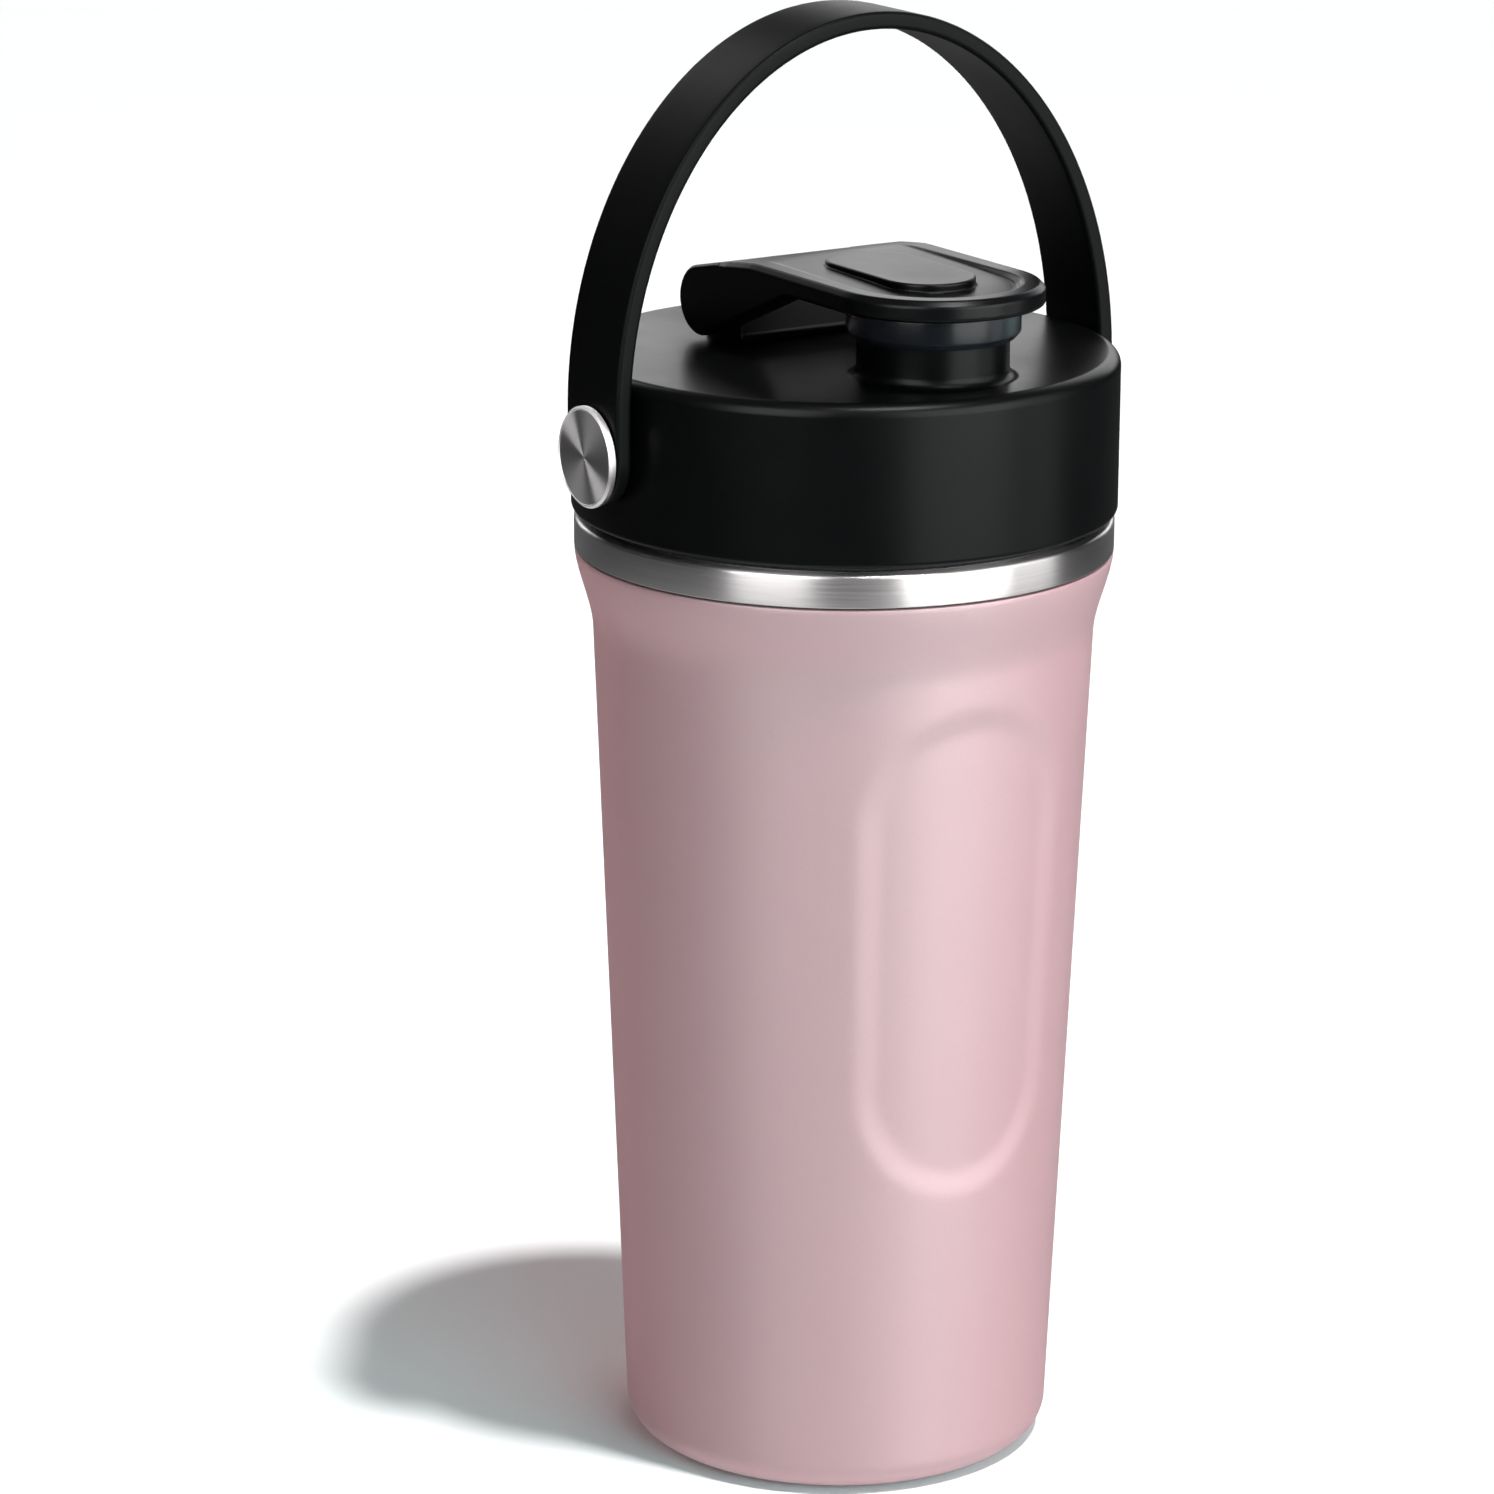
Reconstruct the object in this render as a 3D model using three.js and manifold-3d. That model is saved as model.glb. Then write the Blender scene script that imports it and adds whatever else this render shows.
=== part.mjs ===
// Insulated shaker bottle: a double-walled steel cup, a screw-on lid with a drinking spout under a
// hinged flip cap, a swinging carry strap and a mixing grid that snaps in under the lid.
// Millimetres, +Z up. The origin is the centre of the plane the cup stands on. The spout is at -Y and
// the strap's pivots are on the X axis.
import * as THREE from 'three';
import { mergeVertices } from 'three/addons/utils/BufferGeometryUtils.js';
import Module from 'manifold-3d';

const wasm = await Module();
wasm.setup();

// Driving dimensions.
const GAP = 0.3; // play left between pieces that touch
const SEGMENTS = 36; // facets round a large turned piece

// Cup.
const BASE_RADIUS = 37.5;
const BASE_CORNER = 5.5;
const BODY_TAPER = 0.0408; // radius gained for each millimetre of height
const FLARE_START = 147;
const FLARE_END = 162;
const FLARE = 2.65;
const SHELL_TOP = 161.2;
const SHELL_WALL = 0.8;
const LINER_WALL = 0.7;
const WALL_TOTAL = 3.6; // from the outside of the shell to the inside of the liner
const FLOOR_TOP = 7;
const FLOOR_CORNER = 7;
const BAND_RADIUS = 46.5;
const BAND_WALL = 0.8;
const BAND_BOTTOM = 161.5;
const LIP_TOP = 167.1;
const MOUTH_RADIUS = 43;
const MOUTH_BOTTOM = 158;
const FOOT_INNER = 29;

// Dished plate that closes the foot, with a seat for the vacuum seal. Heights are of its underside.
const PLATE_RIM = 0.5;
const PLATE_DISH = 2.4;
const PLATE_SEAT = 3.4;
const PLATE_RIM_RADIUS = 26.5;
const PLATE_DISH_RADIUS = 24.5;
const PLATE_SEAT_RADIUS = 4.2;
const PLATE_STEP = 1; // how far the seat's step runs out
const SEAL_PLUG_RADIUS = 3.9;
const SEAL_PLUG_DEPTH = 0.6;
const GETTER_RADIUS = 4;
const GETTER_THICKNESS = 1.6;
const GETTER_X = 15;

// Thumb dents pressed into the front and back of the cup.
const DENT_DEPTH = 1.5;
const DENT_HALF_ANGLE = THREE.MathUtils.degToRad(25.5);
const DENT_HALF_WIDTH = 18.3;
const DENT_BOTTOM = 56.5;
const DENT_TOP = 140;
const DENT_EDGE = 3; // half the width of the soft edge
const DENT_TURN = THREE.MathUtils.degToRad(-1.7); // where the closed lid's front lies on the cup

// Screw thread, one start, right-handed.
const THREAD_LEAD = 5;
const THREAD_TURNS = 1.3;
const THREAD_CREST_DEPTH = 1;
const THREAD_HALF_BASE = 1;
const THREAD_HALF_CREST = 0.45;
const LINER_THREAD_Z = 159.6;
const THREAD_STEP = 1.65; // the plug's ridge runs this far under the liner's

// Lid.
const LID_RADIUS = 47;
const LID_WALL = 2;
const LID_BOTTOM = 168.3;
const LID_TOP = 195.8;
const LID_PLATE = 2.2;
const LID_FILLET = 2.3;
const PLUG_RADIUS = 41.5;
const PLUG_BORE = 39.3;
const PLUG_BOTTOM = 158;
const FLANGE_BOTTOM = 170.2;
const FLANGE_TOP = 172.6;
const SPOUT_Y = -26.3;
const SPOUT_RADIUS = 12.8;
const SPOUT_BORE = 10.8;
const SPOUT_TOP = 206.2;
const SPOUT_FLARE = 1.8; // how far the spout's foot spreads

// Strap and its pivots.
const PIVOT_Z = 182.6;
const STRAP_X = 49.2; // middle of the strap's thickness at the pivots
const STRAP_THICKNESS = 3;
const STRAP_WIDTH = 16.5;
const STRAP_LEG = 7.1;
const STRAP_RISE = 62.8;
const STRAP_HOLE = 4.9;
const BUTTON_RADIUS = 8.6;
const BUTTON_FACE = 52.2;
const BUTTON_HEAD = 1.2;
const SHANK_RADIUS = 2.8;
const BOSS_RADIUS = 6.5;
const BOSS_INNER = PLUG_RADIUS + 0.7;
const INSERT_OUTER = 45.4;
const INSERT_RADIUS = 3.9;
const RECESS_FLOOR = 45.9;
const WASHER_RADIUS = 5.5;

// Flip cap and its hinge.
const HINGE_Y = 18.1;
const HINGE_Z = 202.6;
const EAR_RADIUS = 6.1;
const BLOCK_RADIUS = 5.7;
const BLOCK_FOOT = 7; // half the length of the hinge block's foot
const EAR_INNER = 13.6;
const CAP_HALF_WIDTH = 18.6;
const CAP_TOP = 211.7;
const CAP_BOTTOM = 208;
const CAP_BEVEL = 1.1;
const PIN_RADIUS = 1.6;
const PIN_END = 17.2;
const CHEEK_START = [-10, CAP_BOTTOM]; // side outline of the cap, in Y and Z
const CHEEK_KNEE = [4, 202];
const CHEEK_END = [HINGE_Y - 3.2, HINGE_Z - 5.2];
const CAP_SHOULDER = [6, 211.2];
const CAP_FLAT_END = 2;
const NOTCH_FRONT = HINGE_Y - 6.2;
const DISH_RADIUS = 14.3;
const DISH_DEPTH = 1.2;
const DISH_LENGTH = 42;
const PAD_TOP = 212.2;
const PAD_HALF_WIDTH = 8;
const PAD_REAR = -1;
const PAD_FRONT = -33;
const PAD_CORNER = 6;
const STUD_RADIUS = 4;
const STUD_BOTTOM = 204.6;
const SEAL_RADIUS = 14.65;
const SEAL_BOTTOM = 202;
const SKIRT_BOTTOM = 202.5;
const SEAL_WEB = 1.1; // thickness over the spout's rim

// Mixing grid.
const GRID_BOTTOM = 158.5;
const GRID_PLATE = 2;
const GRID_RADIUS = 38.9;
const GRID_COLLAR_TOP = 165;
const GRID_RINGS = [14, 22, 30];
const GRID_SPOKES = 8;
const GRID_BAR = 1.8; // width of a ring or a spoke
const GRID_HUB = 5;
const GRID_COLLAR = 2.2;

// Colours.
const PINK = 0xd9adb6;
const STEEL = 0xb9b6b2;
const BLACK = 0x1b1b1d;
const SMOKE = 0x3a3a3f;
const GREY_RUBBER = 0x2c2c2e;
const BRASS = 0xb08d4a;
const GETTER = 0x6b6660;

function material(color, roughness, metalness = 0) {
  return new THREE.MeshStandardMaterial({ color, roughness, metalness });
}

// Solids.

function signedVolume(position, index) {
  const a = new THREE.Vector3();
  const b = new THREE.Vector3();
  const c = new THREE.Vector3();
  let volume = 0;
  for (let i = 0; i < index.length; i += 3) {
    a.fromBufferAttribute(position, index[i]);
    b.fromBufferAttribute(position, index[i + 1]);
    c.fromBufferAttribute(position, index[i + 2]);
    volume += a.dot(b.cross(c)) / 6;
  }
  return volume;
}

// Turns a closed three.js geometry into a solid whose faces point out.
function solid(geometry) {
  geometry.deleteAttribute('normal');
  geometry.deleteAttribute('uv');
  const merged = mergeVertices(geometry, 1e-4);
  const source = merged.index.array;
  const index = [];
  for (let i = 0; i < source.length; i += 3) {
    const [a, b, c] = [source[i], source[i + 1], source[i + 2]];
    if (a !== b && b !== c && a !== c) index.push(a, b, c);
  }
  if (signedVolume(merged.attributes.position, index) < 0) index.reverse();
  const mesh = new wasm.Mesh({
    numProp: 3,
    vertProperties: Float32Array.from(merged.attributes.position.array),
    triVerts: Uint32Array.from(index),
  });
  return new wasm.Manifold(mesh);
}

function geometryOf(body) {
  const { vertProperties, triVerts } = body.getMesh();
  const geometry = new THREE.BufferGeometry();
  geometry.setAttribute('position', new THREE.BufferAttribute(vertProperties, 3));
  geometry.setIndex(new THREE.BufferAttribute(triVerts, 1));
  geometry.computeVertexNormals();
  return geometry;
}

// A solid turned about Z from [radius, height] points. Angle 0 is the front, -Y.
function turnedGeometry(points, segments = SEGMENTS) {
  const profile = points.map(([radius, height]) => new THREE.Vector2(radius, height));
  if (points[0][0] > 0) profile.push(profile[0].clone());
  const geometry = new THREE.LatheGeometry(profile, segments);
  geometry.rotateX(Math.PI / 2);
  return geometry;
}

function turned(points, segments = SEGMENTS) {
  return solid(turnedGeometry(points, segments));
}

// A cylinder along Z between two heights.
function column(radius, bottom, top, x = 0, y = 0, segments = 24) {
  const geometry = new THREE.CylinderGeometry(radius, radius, top - bottom, segments);
  geometry.rotateX(Math.PI / 2);
  geometry.translate(x, y, (bottom + top) / 2);
  return solid(geometry);
}

// A cylinder along X between two places.
function rod(radius, from, to, y, z, segments = 20) {
  const geometry = new THREE.CylinderGeometry(radius, radius, to - from, segments);
  geometry.rotateZ(Math.PI / 2);
  geometry.translate((from + to) / 2, y, z);
  return solid(geometry);
}

function block(x0, x1, y0, y1, z0, z1) {
  const geometry = new THREE.BoxGeometry(x1 - x0, y1 - y0, z1 - z0);
  geometry.translate((x0 + x1) / 2, (y0 + y1) / 2, (z0 + z1) / 2);
  return solid(geometry);
}

// A side profile in Y and Z, run along X.
function alongX(shape, from, to, curveSegments = 10) {
  const settings = { depth: to - from, bevelEnabled: false, curveSegments };
  const geometry = new THREE.ExtrudeGeometry(shape, settings);
  geometry.rotateY(Math.PI / 2);
  geometry.rotateX(Math.PI / 2);
  geometry.translate(from, 0, 0);
  return solid(geometry);
}

function arc(cx, cz, radius, fromDegrees, toDegrees, steps) {
  const points = [];
  for (let i = 0; i <= steps; i += 1) {
    const angle = THREE.MathUtils.degToRad(fromDegrees + ((toDegrees - fromDegrees) * i) / steps);
    points.push([cx + radius * Math.cos(angle), cz + radius * Math.sin(angle)]);
  }
  return points;
}

// One helical ridge, its root at one radius and its crest at another, faded at both ends.
function ridge(rootRadius, crestRadius, startZ) {
  const steps = Math.round(THREAD_TURNS * SEGMENTS);
  const geometry = new THREE.BoxGeometry(1, 1, 1, steps, 1, 1);
  const position = geometry.attributes.position;
  for (let i = 0; i < position.count; i += 1) {
    const along = position.getX(i) + 0.5;
    const crest = position.getY(i) > 0;
    const side = position.getZ(i) * 2;
    const fade = Math.min(1, 0.3 + Math.min(along, 1 - along) * 12);
    const angle = along * THREAD_TURNS * 2 * Math.PI;
    const radius = crest ? rootRadius + (crestRadius - rootRadius) * fade : rootRadius;
    const halfWidth = crest ? THREAD_HALF_CREST : THREAD_HALF_BASE;
    const height = startZ + along * THREAD_TURNS * THREAD_LEAD + side * halfWidth;
    position.setXYZ(i, radius * Math.sin(angle), -radius * Math.cos(angle), height);
  }
  return solid(geometry);
}

// Cup.

const smooth = (value, low, high) => THREE.MathUtils.smoothstep(value, low, high);

function bodyRadius(z) {
  return BASE_RADIUS + BODY_TAPER * (z - BASE_CORNER) + FLARE * smooth(z, FLARE_START, FLARE_END);
}

function linerRadius(z) {
  const straight = (height) => BASE_RADIUS + BODY_TAPER * (height - BASE_CORNER) - WALL_TOTAL;
  const widening = MOUTH_RADIUS - straight(MOUTH_BOTTOM);
  if (z >= MOUTH_BOTTOM) return MOUTH_RADIUS;
  return straight(z) + widening * smooth(z, FLARE_START - 1, MOUTH_BOTTOM);
}

// Depth of the front or back dent at an angle from the front and a height.
function dentDepth(angle, z) {
  const turn = angle - DENT_TURN;
  const offset = Math.atan(Math.tan(turn));
  const across = (offset / DENT_HALF_ANGLE) * DENT_HALF_WIDTH;
  const low = DENT_BOTTOM + DENT_HALF_WIDTH;
  const high = DENT_TOP - DENT_HALF_WIDTH;
  const beyond = z - THREE.MathUtils.clamp(z, low, high);
  const distance = Math.hypot(across, beyond) - DENT_HALF_WIDTH;
  return DENT_DEPTH * (1 - smooth(distance, -DENT_EDGE, DENT_EDGE));
}

function outerShell() {
  const dentRows = [51, 57, 62, 72, 98, 124, 134, 139.5, 144];
  const flareRows = [148, 151.5, 155, 158.5, SHELL_TOP];
  const rows = [...dentRows, ...flareRows];
  const corner = BASE_RADIUS - BASE_CORNER;
  const outside = rows.map((z) => [bodyRadius(z), z]);
  const inside = rows.map((z) => [bodyRadius(z) - SHELL_WALL, z]).reverse();
  const geometry = turnedGeometry([
    [FOOT_INNER, 0],
    ...arc(corner, BASE_CORNER, BASE_CORNER, -90, 0, 4),
    ...outside,
    ...inside,
    ...arc(corner, BASE_CORNER, BASE_CORNER - SHELL_WALL, 0, -90, 3),
    [FOOT_INNER, SHELL_WALL],
  ]);
  const position = geometry.attributes.position;
  for (let i = 0; i < position.count; i += 1) {
    const [x, y, z] = [position.getX(i), position.getY(i), position.getZ(i)];
    const radius = Math.hypot(x, y);
    const scale = 1 - dentDepth(Math.atan2(x, -y), z) / radius;
    position.setXYZ(i, x * scale, y * scale, z);
  }
  return solid(geometry);
}

function neckBand() {
  const inner = BAND_RADIUS - BAND_WALL;
  const lipInner = MOUTH_RADIUS + LINER_WALL + GAP + 0.1;
  return turned([
    [inner, BAND_BOTTOM],
    [BAND_RADIUS, BAND_BOTTOM],
    [BAND_RADIUS, LIP_TOP - 0.6],
    [BAND_RADIUS - 0.6, LIP_TOP],
    [lipInner, LIP_TOP],
    [lipInner, LIP_TOP - BAND_WALL],
    [inner, LIP_TOP - BAND_WALL],
  ]);
}

function innerLiner() {
  const rows = [146, 150, 154, MOUTH_BOTTOM];
  const bottom = FLOOR_TOP + FLOOR_CORNER;
  const cornerX = linerRadius(bottom) - FLOOR_CORNER;
  const inside = rows.map((z) => [linerRadius(z), z]);
  const outside = rows.map((z) => [linerRadius(z) + LINER_WALL, z]).reverse();
  const wall = turned([
    [0, FLOOR_TOP],
    ...arc(cornerX, bottom, FLOOR_CORNER, -90, 0, 3),
    ...inside,
    [MOUTH_RADIUS, LIP_TOP],
    [MOUTH_RADIUS + LINER_WALL, LIP_TOP],
    ...outside,
    ...arc(cornerX, bottom, FLOOR_CORNER + LINER_WALL, 0, -90, 3),
    [0, FLOOR_TOP - LINER_WALL],
  ]);
  const root = MOUTH_RADIUS + LINER_WALL / 2;
  return wall.add(ridge(root, MOUTH_RADIUS - THREAD_CREST_DEPTH, LINER_THREAD_Z));
}

function basePlate() {
  const rim = FOOT_INNER - GAP;
  const underside = [
    [0, PLATE_SEAT],
    [PLATE_SEAT_RADIUS, PLATE_SEAT],
    [PLATE_SEAT_RADIUS + PLATE_STEP, PLATE_DISH],
    [PLATE_DISH_RADIUS, PLATE_DISH],
    [PLATE_RIM_RADIUS, PLATE_RIM],
    [rim, PLATE_RIM],
  ];
  const offset = [0, SHELL_WALL, SHELL_WALL, 0.5, 0.5, 0];
  const top = underside.map(([radius, height], i) => [radius + offset[i], height + SHELL_WALL]);
  return turned([...underside, ...top.reverse()], 28);
}

function vacuumSealPlug() {
  const top = PLATE_SEAT - GAP;
  return turned([
    [0, top - SEAL_PLUG_DEPTH],
    [SEAL_PLUG_RADIUS - 0.7, top - SEAL_PLUG_DEPTH + 0.1],
    [SEAL_PLUG_RADIUS, top],
    [0, top],
  ], 20);
}

function vacuumGetter() {
  const floor = PLATE_DISH + SHELL_WALL + GAP;
  return column(GETTER_RADIUS, floor, floor + GETTER_THICKNESS, GETTER_X, 0, 20);
}

// Lid.

function spout() {
  return turned([
    [SPOUT_BORE, LID_TOP - 1],
    [SPOUT_RADIUS + SPOUT_FLARE, LID_TOP - 1],
    [SPOUT_RADIUS + SPOUT_FLARE, LID_TOP - 0.2],
    [SPOUT_RADIUS + 0.7, LID_TOP + 0.6],
    [SPOUT_RADIUS, LID_TOP + 2.2],
    [SPOUT_RADIUS, SPOUT_TOP - 0.6],
    [SPOUT_RADIUS - 0.6, SPOUT_TOP],
    [SPOUT_BORE + 0.5, SPOUT_TOP],
    [SPOUT_BORE, SPOUT_TOP - 0.5],
  ], 28).translate([0, SPOUT_Y, 0]);
}

function hingeBlock() {
  const shape = new THREE.Shape();
  shape.moveTo(HINGE_Y - BLOCK_FOOT, LID_TOP - 1);
  shape.lineTo(HINGE_Y + BLOCK_FOOT, LID_TOP - 1);
  shape.lineTo(HINGE_Y + BLOCK_RADIUS, LID_TOP + 2);
  shape.lineTo(HINGE_Y + BLOCK_RADIUS, HINGE_Z);
  shape.absarc(HINGE_Y, HINGE_Z, BLOCK_RADIUS, 0, Math.PI, false);
  shape.lineTo(HINGE_Y - BLOCK_RADIUS, LID_TOP + 2);
  const half = EAR_INNER - GAP;
  return alongX(shape, -half, half);
}

function mirrored(body, side) {
  return side > 0 ? body : body.mirror([1, 0, 0]);
}

// The lid has a boss, a bored seat and a washer recess for each of the strap's pivots.
function lidShell() {
  const inner = LID_RADIUS - LID_WALL;
  let body = turned([
    [inner, LID_BOTTOM],
    [LID_RADIUS - 1.2, LID_BOTTOM],
    [LID_RADIUS - 0.35, LID_BOTTOM + 0.4],
    [LID_RADIUS, LID_BOTTOM + 1.3],
    ...arc(LID_RADIUS - LID_FILLET, LID_TOP - LID_FILLET, LID_FILLET, 0, 90, 3),
    [0, LID_TOP],
    [0, LID_TOP - LID_PLATE],
    [inner, LID_TOP - LID_PLATE],
    [inner, LID_BOTTOM],
  ]);
  body = body.add(spout()).add(hingeBlock());
  for (const side of [-1, 1]) {
    body = body.add(mirrored(rod(BOSS_RADIUS, BOSS_INNER, inner + 0.5, 0, PIVOT_Z), side));
  }
  body = body.subtract(column(SPOUT_BORE, LID_TOP - 5, LID_TOP + 2, 0, SPOUT_Y, 28));
  body = body.subtract(rod(PIN_RADIUS + GAP, -EAR_INNER, EAR_INNER, HINGE_Y, HINGE_Z, 20));
  for (const side of [-1, 1]) {
    const insertSeat = rod(INSERT_RADIUS + GAP, BOSS_INNER - 1, INSERT_OUTER + GAP, 0, PIVOT_Z);
    const shankHole = rod(SHANK_RADIUS + GAP, BOSS_INNER, LID_RADIUS + 1, 0, PIVOT_Z);
    const recess = rod(WASHER_RADIUS + GAP, RECESS_FLOOR, LID_RADIUS + 1, 0, PIVOT_Z);
    body = body.subtract(mirrored(insertSeat.add(shankHole).add(recess), side));
  }
  return body;
}

function lidPlug() {
  const top = LID_TOP - LID_PLATE - GAP;
  const flange = LID_RADIUS - LID_WALL - GAP;
  const wall = turned([
    [PLUG_BORE, PLUG_BOTTOM],
    [PLUG_RADIUS - 0.6, PLUG_BOTTOM],
    [PLUG_RADIUS, PLUG_BOTTOM + 0.6],
    [PLUG_RADIUS, FLANGE_BOTTOM],
    [flange, FLANGE_BOTTOM],
    [flange, FLANGE_TOP],
    [PLUG_RADIUS, FLANGE_TOP],
    [PLUG_RADIUS, top],
    [PLUG_BORE, top],
  ]);
  const crest = MOUTH_RADIUS - 0.45;
  const thread = ridge(PLUG_RADIUS - 0.4, crest, LINER_THREAD_Z - THREAD_STEP + THREAD_LEAD / 4);
  return wall.add(thread.rotate([0, 0, 90]));
}

function lidGasket() {
  const bottom = LIP_TOP + GAP;
  const top = FLANGE_BOTTOM - GAP;
  const outer = LID_RADIUS - LID_WALL - GAP;
  const inner = PLUG_RADIUS + 0.6;
  return turned([
    [inner, bottom + 0.4],
    [inner + 0.4, bottom],
    [outer - 0.4, bottom],
    [outer, bottom + 0.4],
    [outer, top],
    [inner, top],
  ]);
}

// Pivots: the button is a steel head and shank in one.
function pivotButton(side) {
  const head = BUTTON_FACE - BUTTON_HEAD;
  const cone = new THREE.CylinderGeometry(BUTTON_RADIUS - 0.5, BUTTON_RADIUS, 0.4, 32);
  cone.rotateZ(-Math.PI / 2);
  cone.translate(BUTTON_FACE - 0.2, 0, PIVOT_Z);
  let body = rod(BUTTON_RADIUS, head, BUTTON_FACE - 0.39, 0, PIVOT_Z, 32);
  body = body.add(solid(cone));
  body = body.add(rod(SHANK_RADIUS, BOSS_INNER + 0.6, head + 0.4, 0, PIVOT_Z));
  return mirrored(body, side);
}

function ringAlongX(outer, inner, from, to, side) {
  const body = rod(outer, from, to, 0, PIVOT_Z).subtract(rod(inner, from - 1, to + 1, 0, PIVOT_Z));
  return mirrored(body, side);
}

function pivotWasher(side) {
  const from = RECESS_FLOOR + GAP;
  return ringAlongX(WASHER_RADIUS, SHANK_RADIUS + GAP, from, from + 1, side);
}

function pivotInsert(side) {
  return ringAlongX(INSERT_RADIUS, SHANK_RADIUS + GAP, BOSS_INNER + GAP, INSERT_OUTER, side);
}

// Carry strap.

function strapBush(side) {
  const half = STRAP_THICKNESS / 2 - 0.05;
  return ringAlongX(STRAP_HOLE - GAP, SHANK_RADIUS + GAP, STRAP_X - half, STRAP_X + half, side);
}

// Middle line of the strap: a straight leg, half an ellipse and the other leg.
class StrapLine extends THREE.Curve {
  getPoint(t, target = new THREE.Vector3()) {
    const leg = 0.05;
    const arch = THREE.MathUtils.clamp((t - leg) / (1 - 2 * leg), 0, 1);
    const legEnd = Math.min(1, Math.min(t, 1 - t) / leg);
    const angle = Math.PI * arch;
    const z = PIVOT_Z + STRAP_LEG * legEnd + STRAP_RISE * Math.sin(angle);
    return target.set(STRAP_X * Math.cos(angle), 0, z);
  }
}

function carryStrap() {
  const half = STRAP_WIDTH / 2;
  const thin = STRAP_THICKNESS / 2;
  const round = 0.8;
  const section = new THREE.Shape();
  section.moveTo(-half + round, -thin);
  section.lineTo(half - round, -thin);
  section.absarc(half - round, -thin + round, round, -Math.PI / 2, 0, false);
  section.absarc(half - round, thin - round, round, 0, Math.PI / 2, false);
  section.absarc(-half + round, thin - round, round, Math.PI / 2, Math.PI, false);
  section.absarc(-half + round, -thin + round, round, Math.PI, 1.5 * Math.PI, false);
  const settings = { steps: 36, extrudePath: new StrapLine(), curveSegments: 1 };
  let body = solid(new THREE.ExtrudeGeometry(section, settings));
  for (const side of [-1, 1]) {
    const end = rod(half, STRAP_X - thin, STRAP_X + thin, 0, PIVOT_Z, 32);
    const hole = rod(STRAP_HOLE, STRAP_X - thin - 1, STRAP_X + thin + 1, 0, PIVOT_Z);
    body = body.add(mirrored(end, side)).subtract(mirrored(hole, side));
  }
  return body;
}

// Flip cap.

// Plan outline with straight sides and a round front.
function capOutline(halfWidth, rear, frontRadius) {
  const shape = new THREE.Shape();
  shape.moveTo(halfWidth, rear);
  shape.lineTo(-halfWidth, rear);
  shape.lineTo(-halfWidth, SPOUT_Y);
  shape.absarc(0, SPOUT_Y, frontRadius, Math.PI, 2 * Math.PI, false);
  return shape;
}

function capSideProfile() {
  const shape = new THREE.Shape();
  const front = SPOUT_Y - CAP_HALF_WIDTH - 5;
  shape.moveTo(front, CAP_BOTTOM);
  shape.lineTo(...CHEEK_START);
  shape.lineTo(...CHEEK_KNEE);
  shape.lineTo(...CHEEK_END);
  shape.absarc(HINGE_Y, HINGE_Z, EAR_RADIUS, THREE.MathUtils.degToRad(238), Math.PI * 2.42, false);
  shape.lineTo(...CAP_SHOULDER);
  shape.lineTo(CAP_FLAT_END, CAP_TOP);
  shape.lineTo(front, CAP_TOP);
  return shape;
}

function thumbPad() {
  const round = PAD_FRONT + PAD_CORNER;
  const side = PAD_HALF_WIDTH - PAD_CORNER;
  const root = CAP_BOTTOM + 1;
  const pad = new THREE.Shape();
  pad.moveTo(PAD_HALF_WIDTH, PAD_REAR);
  pad.lineTo(-PAD_HALF_WIDTH, PAD_REAR);
  pad.lineTo(-PAD_HALF_WIDTH, round);
  pad.absarc(-side, round, PAD_CORNER, Math.PI, 1.5 * Math.PI, false);
  pad.absarc(side, round, PAD_CORNER, 1.5 * Math.PI, 2 * Math.PI, false);
  const raised = new THREE.ExtrudeGeometry(pad, { depth: PAD_TOP - root, bevelEnabled: false });
  raised.translate(0, 0, root);
  return solid(raised);
}

function flipCap() {
  const rear = HINGE_Y + EAR_RADIUS + 1;
  const settings = {
    depth: 20,
    bevelThickness: CAP_BEVEL,
    bevelSize: CAP_BEVEL,
    bevelOffset: -CAP_BEVEL,
    bevelSegments: 1,
    curveSegments: 20,
  };
  const outline = capOutline(CAP_HALF_WIDTH, rear, CAP_HALF_WIDTH);
  const plan = new THREE.ExtrudeGeometry(outline, settings);
  plan.translate(0, 0, CAP_TOP - CAP_BEVEL - settings.depth);
  let body = solid(plan).intersect(alongX(capSideProfile(), -30, 30));
  const inner = EAR_INNER;
  const low = LID_TOP - 5;
  body = body.subtract(block(-inner, inner, NOTCH_FRONT, rear + 5, low, CAP_TOP + 5));
  body = body.subtract(block(-inner, inner, 2 * CHEEK_START[0], rear + 5, low, CAP_BOTTOM));
  body = body.subtract(rod(PIN_RADIUS + GAP, -PIN_END, PIN_END, HINGE_Y, HINGE_Z, 20));
  const dish = new THREE.ExtrudeGeometry(capOutline(DISH_RADIUS, CAP_FLAT_END, DISH_RADIUS), {
    depth: 6,
    bevelEnabled: false,
    curveSegments: 16,
  });
  dish.translate(0, -CAP_FLAT_END, 0);
  dish.rotateX(Math.atan(DISH_DEPTH / DISH_LENGTH));
  dish.translate(0, CAP_FLAT_END, CAP_TOP);
  body = body.subtract(solid(dish)).add(thumbPad());
  return body.add(column(STUD_RADIUS, STUD_BOTTOM, CAP_BOTTOM + 1, 0, SPOUT_Y, 20));
}

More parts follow.
